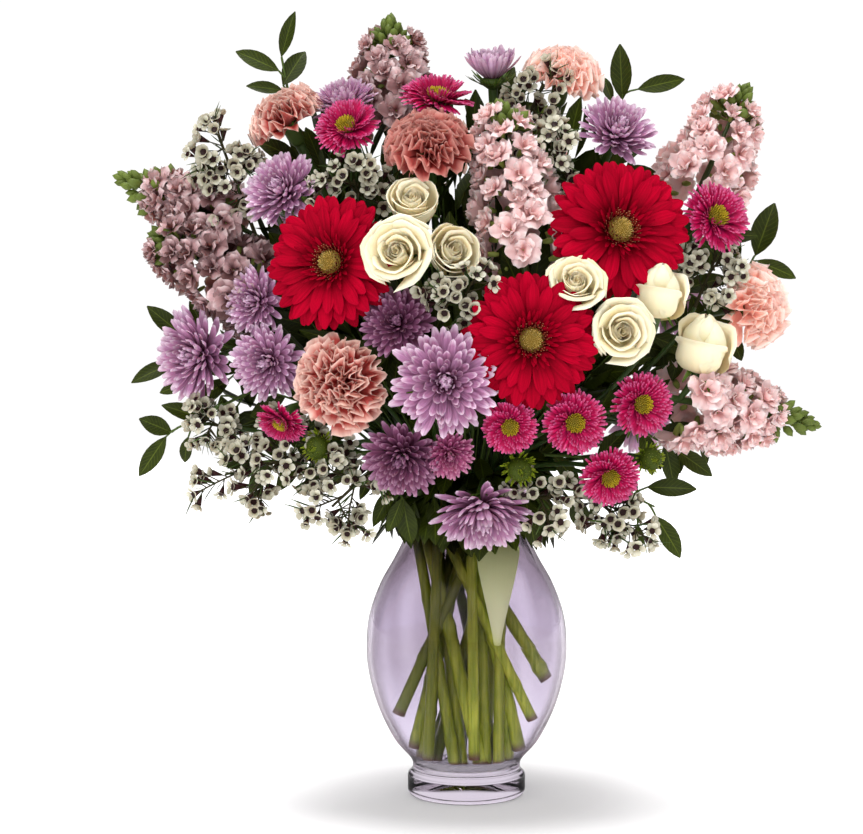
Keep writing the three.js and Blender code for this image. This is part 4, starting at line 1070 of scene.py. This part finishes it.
# Leafy stems: dark glossy leaves, pointed at both ends and folded a little along the midrib, in two rows on
# thin woody twigs. Some frame the bouquet; the rest fill the gaps between the blooms down to the neck.

# Leaf: a smooth dark upper skin with a light midrib and fine side veins, paler and duller beneath.
leaf_green = new_material("dark glossy leaf")
on_leaf, of_leaf = marked("petal"), marked("place")
from_rib = add("Math", (on_leaf["X"],), "ABSOLUTE")
sweep = add("Math", (from_rib, -0.22, on_leaf["Y"]), "MULTIPLY_ADD")
rows_of_veins = add("Math", (sweep, 62.0), "MULTIPLY")
wave = add("Math", (rows_of_veins,), "SINE")
side_veins = add("MapRange", {"Value": wave, "From Min": 0.8, "To Max": 0.35})
midrib = add("MapRange", {"Value": from_rib, "From Min": 0.09, "From Max": 0.02, "To Max": 0.8})
veins = add("Math", (side_veins, midrib), "MAXIMUM")
coords = add("TexCoord").outputs["Object"]
mottle = add("TexNoise", {"Vector": coords, "Scale": 160.0, "Detail": 3.0})
blade = add("Mix", {"Factor": mottle, "A": paint("1c2406"), "B": paint("3a4604")}, "RGBA")
veined = add("Mix", {"Factor": veins, "A": blade, "B": paint("58661a")}, "RGBA")
reverse = add("MapRange", {"Value": on_leaf["Z"], "From Max": -1.0})
two_sided = add("Mix", {"Factor": reverse, "A": veined, "B": paint("4c5a20")}, "RGBA")
light = add("MapRange", {"Value": of_leaf["Y"], "To Min": 0.65, "To Max": 1.15})
toned = add("HueSaturation", {"Color": two_sided, "Value": light})
relief = add("Math", (veins, -0.6, mottle), "MULTIPLY_ADD")
bump = add("Bump", {"Height": relief, "Strength": 0.3, "Distance": 0.0004})
rough = add("MapRange", {"Value": mottle, "To Min": 0.34, "To Max": 0.5})
surface = add("BsdfPrincipled", {"Base Color": toned, "Roughness": rough, "Specular IOR Level": 0.18, "Normal": bump})
add("OutputMaterial", {"Surface": surface})

LEAF_WIDTHS = [0.015, 0.1, 0.155, 0.18, 0.175, 0.145, 0.09, 0.012]
leaf_shapes = shapes("leaf", [petal(1.0, LEAF_WIDTHS, 4, arch=-0.12 * k, curl=-0.3, cup=0.3, ripple=0.12, waves=2,
    thick=0.018, seed=90 + k) for k in (0, 1, 2)])

LEAFY_STEMS = [  # foot, tip, and each leaf that shows: its root, its tip and its breadth; or their length and number
    ("leaves_top_left", (-120, 6, 468), (-131, 0, 524),
     [(-131, 525, -122, 557, 0.9), (-133, 515, -164, 530, 1.0), (-130, 505, -114, 531, 1.3),
      (-130, 501, -156, 505, 1.0), (-126, 493, -109, 501, 1.0)]),
    ("leaves_top_right", (100, 14, 466), (110, 6, 498),
     [(110, 495, 108, 534, 1.1), (121, 502, 155, 510, 1.0), (103, 493, 96, 512, 1.0)]),
    ("leaves_right", (190, 6, 358), (204, 0, 384),
     [(205, 385, 218, 422, 1.3), (206, 381, 235, 369, 1.0), (193, 380, 186, 406, 1.0)]),
    ("leaves_left", (-150, -20, 290), (-210, -20, 260),
     [(-210, 259, -233, 269, 1.5), (-214, 256, -234, 227, 1.0), (-198, 256, -202, 236, 1.2),
      (-185, 268, -217, 279, 1.0), (-163, 278, -177, 248, 1.2), (-175, 285, -167, 259, 1.2)]),
    ("leaves_right_low", (84, -40, 230), (134, -58, 206),
     [(129, 220, 164, 219, 1.1), (135, 199, 154, 169, 1.1), (78, 213, 83, 188, 1.5), (122, 193, 123, 173, 1.2),
      (102, 198, 110, 180, 1.0), (95, 211, 88, 197, 1.2)]),
    ("leaves_left_upper", (-160, -20, 318), (-200, -20, 328),
     [(-201, 327, -227, 349, 1.1), (-186, 332, -197, 353, 1.0)]),
    ("leaves_left_middle", (-165, -20, 316), (-205, -22, 306),
     [(-208, 309, -239, 295, 1.0), (-201, 294, -219, 287, 1.2)]),
    ("leaves_right_edge", (120, -30, 300), (150, -36, 262),
     [(151, 247, 152, 230, 1.2), (167, 252, 172, 236, 1.0), (186, 333, 196, 308, 1.1), (130, 328, 167, 313, 1.0),
      (123, 254, 139, 232, 1.1), (150, 328, 126, 304, 1.5), (152, 322, 146, 296, 1.4), (118, 322, 144, 316, 1.4)]),
    ("leaves_front_low", (-40, -50, 226), (-56, -62, 206),
     [(-52, 220, -67, 192, 1.0), (-46, 212, -56, 187, 1.1), (-45, 211, -40, 177, 1.2), (-67, 232, -76, 211, 1.0)]),
    ("leaves_rim_right", (40, -50, 226), (54, -62, 206),
     [(42, 212, 49, 177, 1.2), (52, 215, 64, 195, 1.1), (35, 211, 41, 183, 1.1)]),
    ("leaves_mid_left", (-60, -36, 262), (-140, -40, 288), (30, 8)),
    ("leaves_low_mid", (36, -36, 244), (116, -42, 240), (30, 7)),
    ("leaves_mid_top", (10, 10, 440), (22, 4, 488), (34, 5)),
    ("leaves_high_left", (-96, 8, 430), (-98, 2, 470), (32, 5)),
    ("leaves_mid_right", (132, 0, 372), (168, -4, 352), (34, 5)),
    ("leaves_low_right", (110, -40, 268), (150, -44, 246), (32, 5)),
    ("leaves_low_left", (-60, -40, 246), (-150, -44, 238), (30, 8)),
    ("leaves_inner_left", (-90, 0, 440), (-120, -4, 452), (34, 5)),
    ("leaves_side_left", (-130, -10, 330), (-170, -12, 296), (34, 5)),
    ("leaves_inner_right", (84, 0, 452), (112, -4, 446), (32, 5)),
    ("leaves_side_right", (140, 0, 392), (176, -4, 398), (32, 6)),
]
FRONT = Vector((0, -1, 0))

for node, low, high, shown in LEAFY_STEMS:
    start, end = seen_at(low), seen_at(high)
    facing = (end - start).normalized()
    sideways = facing.cross(FRONT).normalized()
    lines = [[(start.lerp(end, t), 1.4 - 0.7 * t) for t in (0, 0.3, 0.6, 1)]]
    leaves = []
    if isinstance(shown, list):
        for k, (x, z, tip_x, tip_z, breadth) in enumerate(shown):
            root, tip = seen_at((x, high[1], z)), seen_at((tip_x, high[1] + 5 * (k % 3 - 1), tip_z))
            share = (root - start).dot(facing) / (end - start).length - 0.15
            foot = start.lerp(end, min(1.0, max(0.0, share)))
            lines.append([(foot, 0.9), (foot.lerp(root, 0.5) + Vector((0, 0, 0.8 * MM)), 0.8), (root, 0.7)])
            face = Vector((0.3 * (k % 2) - 0.15, -1, 0.3 - 0.2 * (k % 3)))
            leaves.append((root, tip - root, face, (tip - root).length, breadth))
    else:
        size, count = shown
        for k in range(count):
            side = 1 if k % 2 else -1
            root = start.lerp(end, 0.2 + 0.78 * k / (count - 1))
            lean = 0.1 if k == count - 1 else side * 1.1
            along = (facing + sideways * lean + FRONT * 0.25 * (k % 3 - 1)).normalized()
            leaves.append((root - along * 0.8 * MM, along, Vector((0.1 * side, -1, 0.25)), size * MM, 1.1))
    twig = stalk_mesh(lines, sepal_green, 6)
    add_piece(node + "_blades", [twig, set_out(leaf_shapes, leaf_green, leaves)], node)
    carried.append((start, facing, TWIG))

# Filling foliage: sprigs fan out from the neck on all sides, a little shorter than the blooms, and smaller
# leaves crowd round the stems at the neck and hang over the rim.
small_leaves = shapes("small_leaf", [petal(1.0, [0.02, 0.13, 0.19, 0.15, 0.015], 2, arch=-0.2 * k, cup=0.4, thick=0.02,
    seed=95 + k) for k in (0, 1)])
HEART = Vector((0, -4, 345)) * MM
FILL_REACH = Vector((170, 86, 150)) * MM
SPRIGS = 130
LEAVES_A_SPRIG = 8
SPRIG_POINTS = 7
SPRIG_ROOT = 26 * MM  # how far from the axis it leaves the neck
FORK_HEIGHT = 226 * MM

random = np.random.default_rng(12)
lines, leaves = [], []
for k in range(SPRIGS):
    rise = 1 - 1.5 * (k + 0.5) / SPRIGS  # from straight up to well below level
    level_part = sqrt(1 - rise * rise)
    way = Vector((cos(k * GOLDEN) * level_part, sin(k * GOLDEN) * level_part, rise))
    share = 0.62 + 0.34 * random.random()
    tip = HEART + Vector((way.x * FILL_REACH.x, way.y * FILL_REACH.y, way.z * FILL_REACH.z)) * share
    root = Vector((way.x * SPRIG_ROOT, way.y * SPRIG_ROOT, FORK_HEIGHT - 14 * MM))
    bow = root.lerp(tip, 0.55) + Vector((0, 0, 10 * MM))
    spots = [root.lerp(bow, t).lerp(bow.lerp(tip, t), t) for t in np.linspace(0, 1, SPRIG_POINTS)]
    lines.append([(spot, 1.2 - 0.6 * j / (SPRIG_POINTS - 1)) for j, spot in enumerate(spots)])
    for j in range(LEAVES_A_SPRIG):
        t = 0.4 + 0.6 * j / (LEAVES_A_SPRIG - 1)
        spot = root.lerp(bow, t).lerp(bow.lerp(tip, t), t)
        onward = (bow.lerp(tip, t) - root.lerp(bow, t)).normalized()
        across = onward.cross(Vector(random.uniform(-1, 1, 3))).normalized()
        lean = 0.1 if j == LEAVES_A_SPRIG - 1 else 0.9
        face = (way + Vector(random.uniform(-0.5, 0.5, 3))).normalized()
        leaves.append((spot, onward + across * lean, face, (30 + 14 * random.random()) * MM))
foliage = [stalk_mesh(lines, sepal_green, 4), set_out(small_leaves, leaf_green, leaves)]
add_piece("filling_foliage", foliage)

COLLAR_LEAVES = 330

leaves = []
for k in range(COLLAR_LEAVES):
    angle, share = k * GOLDEN, (k + 0.5) / COLLAR_LEAVES
    out = Vector((cos(angle), sin(angle), 0))
    size = (30 + 10 * random.random()) * MM
    if share < 0.35:  # on the stems within the neck
        spot = out * (20 + 15 * random.random()) * MM + Vector((0, 0, (170 + 32 * random.random()) * MM))
        along = Vector((0, 0, 1)) + out * 0.1 + Vector(random.uniform(-0.3, 0.3, 3))
        size *= 0.7
    elif share < 0.72:  # over the rim
        spot = out * (14 + 44 * share) * MM + Vector((0, 0, (214 + 30 * random.random()) * MM))
        along = out + Vector((0, 0, random.uniform(-0.75, 0.5))) + Vector(random.uniform(-0.3, 0.3, 3))
    else:  # down past the rim
        spot = out * (46 + 8 * random.random()) * MM + Vector((0, 0, (200 + 18 * random.random()) * MM))
        along = out * 0.35 + Vector((0, 0, -1)) + Vector(random.uniform(-0.35, 0.35, 3))
        size *= 0.75
    leaves.append((spot, along, out + Vector((0, 0, 0.5)), size, 1.2))
add_piece("neck_collar", [set_out(small_leaves, leaf_green, leaves)])

# Stems: fresh green stems, cut on the slant, cross in the water and divide over the rim, where each
# goes on as the twigs of the blooms nearest to it. The calyxes and bracts grow on their ends.

# Stem: finely ribbed along its length, in light and dark stripes that also paint some of its shading; from yellow-green
# to a dark olive, which paints shade on the stems at the back; browner at its cut end, and darker over the rim, where
# shade is painted.
stem_green = new_material("fresh green stem")
coords = add("TexCoord").outputs["Object"]
own, gone, _ = marked("petal")
stretched = add("Mapping", {"Vector": coords, "Scale": (430.0, 430.0, 14.0)})
fibres = add("TexNoise", {"Vector": stretched, "Scale": 1.0})
ribs = add("MapRange", {"Value": fibres, "From Min": 0.3, "From Max": 0.72})
blotch = add("TexNoise", {"Vector": coords, "Scale": 42.0})
bright = add("Mix", {"Factor": ribs, "A": paint("8ea40c"), "B": paint("e4ec54")}, "RGBA")
painted_shade = add("Mix", {"Factor": ribs, "A": paint("2a2a06"), "B": paint("6e7620")}, "RGBA")
low_green = add("Mix", {"Factor": own, "A": bright, "B": painted_shade}, "RGBA")
patchy = add("MapRange", {"Value": blotch, "From Min": 0.4, "From Max": 0.7, "To Max": 0.55})
shaded = add("Mix", {"Factor": patchy, "A": low_green, "B": paint("76881a")}, "RGBA")
height = add("SeparateXYZ", {"Vector": coords}).outputs["Z"]
higher = add("MapRange", {"Value": height, "From Min": 0.16, "From Max": 0.225})
painted_shade_over_rim = add("Mix", {"Factor": higher, "A": shaded, "B": paint("3a5220")}, "RGBA")
cut = add("MapRange", {"Value": gone, "From Min": 0.006, "From Max": 0.0015})
ended = add("Mix", {"Factor": cut, "A": painted_shade_over_rim, "B": paint("6a4424")}, "RGBA")
bump = add("Bump", {"Height": ribs, "Strength": 0.4, "Distance": 0.0004})
rough = add("MapRange", {"Value": blotch, "To Min": 0.3, "To Max": 0.45})
surface = add("BsdfPrincipled", {"Base Color": ended, "Roughness": rough, "Subsurface Weight": 0.08,
    "Subsurface Scale": 0.002, "Normal": bump})
add("OutputMaterial", {"Surface": surface})

# The last number paints shade: it mixes a stem towards dark olive, mostly the stems at the back.
STEMS = [  # its cut end, where it passes the neck, its radius in mm, and how olive it is
    ((10, -16, 25), (-28, -14), 3.8, 0.1), ((46, -16, 57), (-15, -22), 3, 0.0), ((58, 10, 81), (-7, 9), 3.8, 0.1),
    ((5, -22, 31), (3, -24), 3, 0.0), ((13.5, -14.5, 23), (9, -10), 3.2, 0.3), ((29, -5, 26), (16, -26), 3.2, 0.0),
    ((13, 13, 23), (25, 8), 3.4, 0.6), ((-8, -15, 23), (-35.5, -4), 3.2, 0.5), ((-48, -12, 60), (8, -20), 3.2, 0.75),
    ((-31, -6, 28), (-8, 14), 3.8, 0.6), ((-22, 8, 24), (20, -12), 3.2, 0.75), ((-3, -8, 22), (-22, 12), 3.4, 0.4),
    ((-8, 20, 24), (31, -8), 3, 1.0), ((21, 10, 24), (-14, 27), 3, 1.0), ((-4, 21, 23), (8, 28), 3.2, 1.0),
    ((-24, 18, 30), (26, 22), 3, 1.0), ((-37, -6, 35), (0, 4), 3.4, 0.35), ((37, -10, 35), (2, -14), 3.6, 0.1),
    ((-27, -15, 28), (-20, -24), 3, 0.55), ((22, -17, 25), (24, -16), 3, 0.4),
]
NECK_HEIGHT = 186

BUDS = [  # green aster buds, each on a twig of its own: where it is seen, facing, and its width
    ((-107, -92, 248), (-0.35, -0.85, -0.2), 26),
    ((38, -108, 232), (0.1, -0.95, -0.2), 26),
    ((132, -88, 240), (0.35, -0.9, -0.1), 24),
]
bud_scales = shapes("bud_scale", [petal(0.62, [0.02, 0.05, 0.055, 0.012], 2, arch=0.7, cup=0.3, seed=11)])
# Aster bud: yellow-green scales, with painted shade in the gaps between them.
bud_skin = bloom_material("green aster bud", "5c7010 8aa01c c0cc44 74881c 44520e", gloss=0.6, glow=0.1, tone=0.25)
for i, (at, faces, width) in enumerate(BUDS):
    middle, facing = seen_at(at), Vector(faces).normalized()
    ball = turned("ball", [(0, -0.8), (0.35, -0.75), (0.62, -0.3), (0.6, 0.1), (0.35, 0.38), (0, 0.42)], 12, bud_skin)
    scales = whorl(bud_scales, bud_skin, 110, (0.05, 0.5), (0.3, -0.55), (85, 10), (0.7, 1.0), ease=0.7, uneven=0.16,
        seed=400 + i)
    green_parts.append(placed(joined("green_bud", [ball, scales]), middle, facing, width / 2 * MM))
    carried.append((middle - facing * 0.4 * width / 2 * MM, facing, TWIG))

THICKENED = 1.36  # by the glass and the water that they are seen through
JOINT = 0.22  # how much a stem thickens at a joint
STEM_BOW = 2.2 * MM
STEM_POINTS = 26
TWIG_POINTS = 14

trunks = []
for (x, y, z), (across, back), radius, _ in STEMS:
    cut_end = Vector((x, y, z)) * MM
    neck = Vector((across, back, NECK_HEIGHT)) * MM
    fork = Vector((across * 1.2 * MM, back * 1.2 * MM, FORK_HEIGHT))
    trunks.append((cut_end, neck, fork, radius))

lines = []
for k, (cut_end, neck, fork, radius) in enumerate(trunks):
    line = []
    for t in np.linspace(0, 1, STEM_POINTS):
        # a stem bows a little between its end and the neck, and thickens at its joints
        spot = cut_end.lerp(neck, t) + Vector((0, (-1) ** k * STEM_BOW * sin(pi * t), 0))
        joint = 1 + JOINT * max(0.0, cos((t * 3.3 + k * 0.37) * 2 * pi)) ** 24
        line.append((spot, radius * THICKENED * joint * (1 - 0.15 * t)))
    line += [(neck.lerp(fork, 0.5), radius * 0.85), (fork, radius * 0.7), (fork + (fork - neck) * 0.2, radius * 0.4)]
    lines.append(line)
for i, (back, facing, cup) in enumerate(carried):
    cut_end, neck, fork, radius = min(trunks, key=lambda trunk: (trunk[2] - back).length)
    reach = (back - fork).length
    before = back - facing * 0.35 * reach
    after = fork.lerp(Vector((0, 0, FORK_HEIGHT + 0.4 * reach)), 0.25)
    root = fork.lerp(neck, 0.1 + 0.12 * (i % 5))
    line = [(root, TWIG)]
    for t in np.linspace(0, 1, TWIG_POINTS):
        a, b, c = fork.lerp(after, t), after.lerp(before, t), before.lerp(back, t)
        spot = a.lerp(b, t).lerp(b.lerp(c, t), t)
        line.append((spot, TWIG + (cup * 0.8 - TWIG) * max(0.0, (t - 0.8) / 0.2)))
    lines.append(line)
lines += [[(point, TWIG * 0.9) for point in stalk] for stalk in side_stalks]
lines += [[(ends[0].lerp(ends[1], t), 2.6 - 1.6 * t) for t in (0, 0.25, 0.5, 0.75, 1)] for ends in spike_stems]

stem_parts = [stalk_mesh(lines, stem_green, 9, len(trunks), [stem[3] for stem in STEMS]), *green_parts]
add_piece("green_stems", stem_parts, "stems")

# Sheath: one broad pale leaf sheath, peeled from a stem, hangs in the neck and down into the water. It glows
# with a painted light, which stands in for the light that comes through its thin blade.
sheath = petal(74, [14, 14.5, 13.2, 11, 8.6, 6.2, 4, 2.2], 6, arch=0.16, cup=0.3, ripple=0.16, waves=2, thick=0.7)
pale_sheath = bloom_material("pale leaf sheath", "dfe8a4 eef4c0 dce890 e6eeb4 b4c474", streaks=12.0, streak=0.5,
    gloss=0.45, glow=0.1, tone=0.02, depth=0.0, lit=0.4)
hanging = Matrix.Translation((21 * MM, -31 * MM, 184 * MM)) @ Matrix.Rotation(radians(-92), 4, "X")
sheath.transform(hanging @ Matrix.Scale(MM, 4))
sheath.materials.append(pale_sheath)
add_piece("pale_sheath", [sheath])
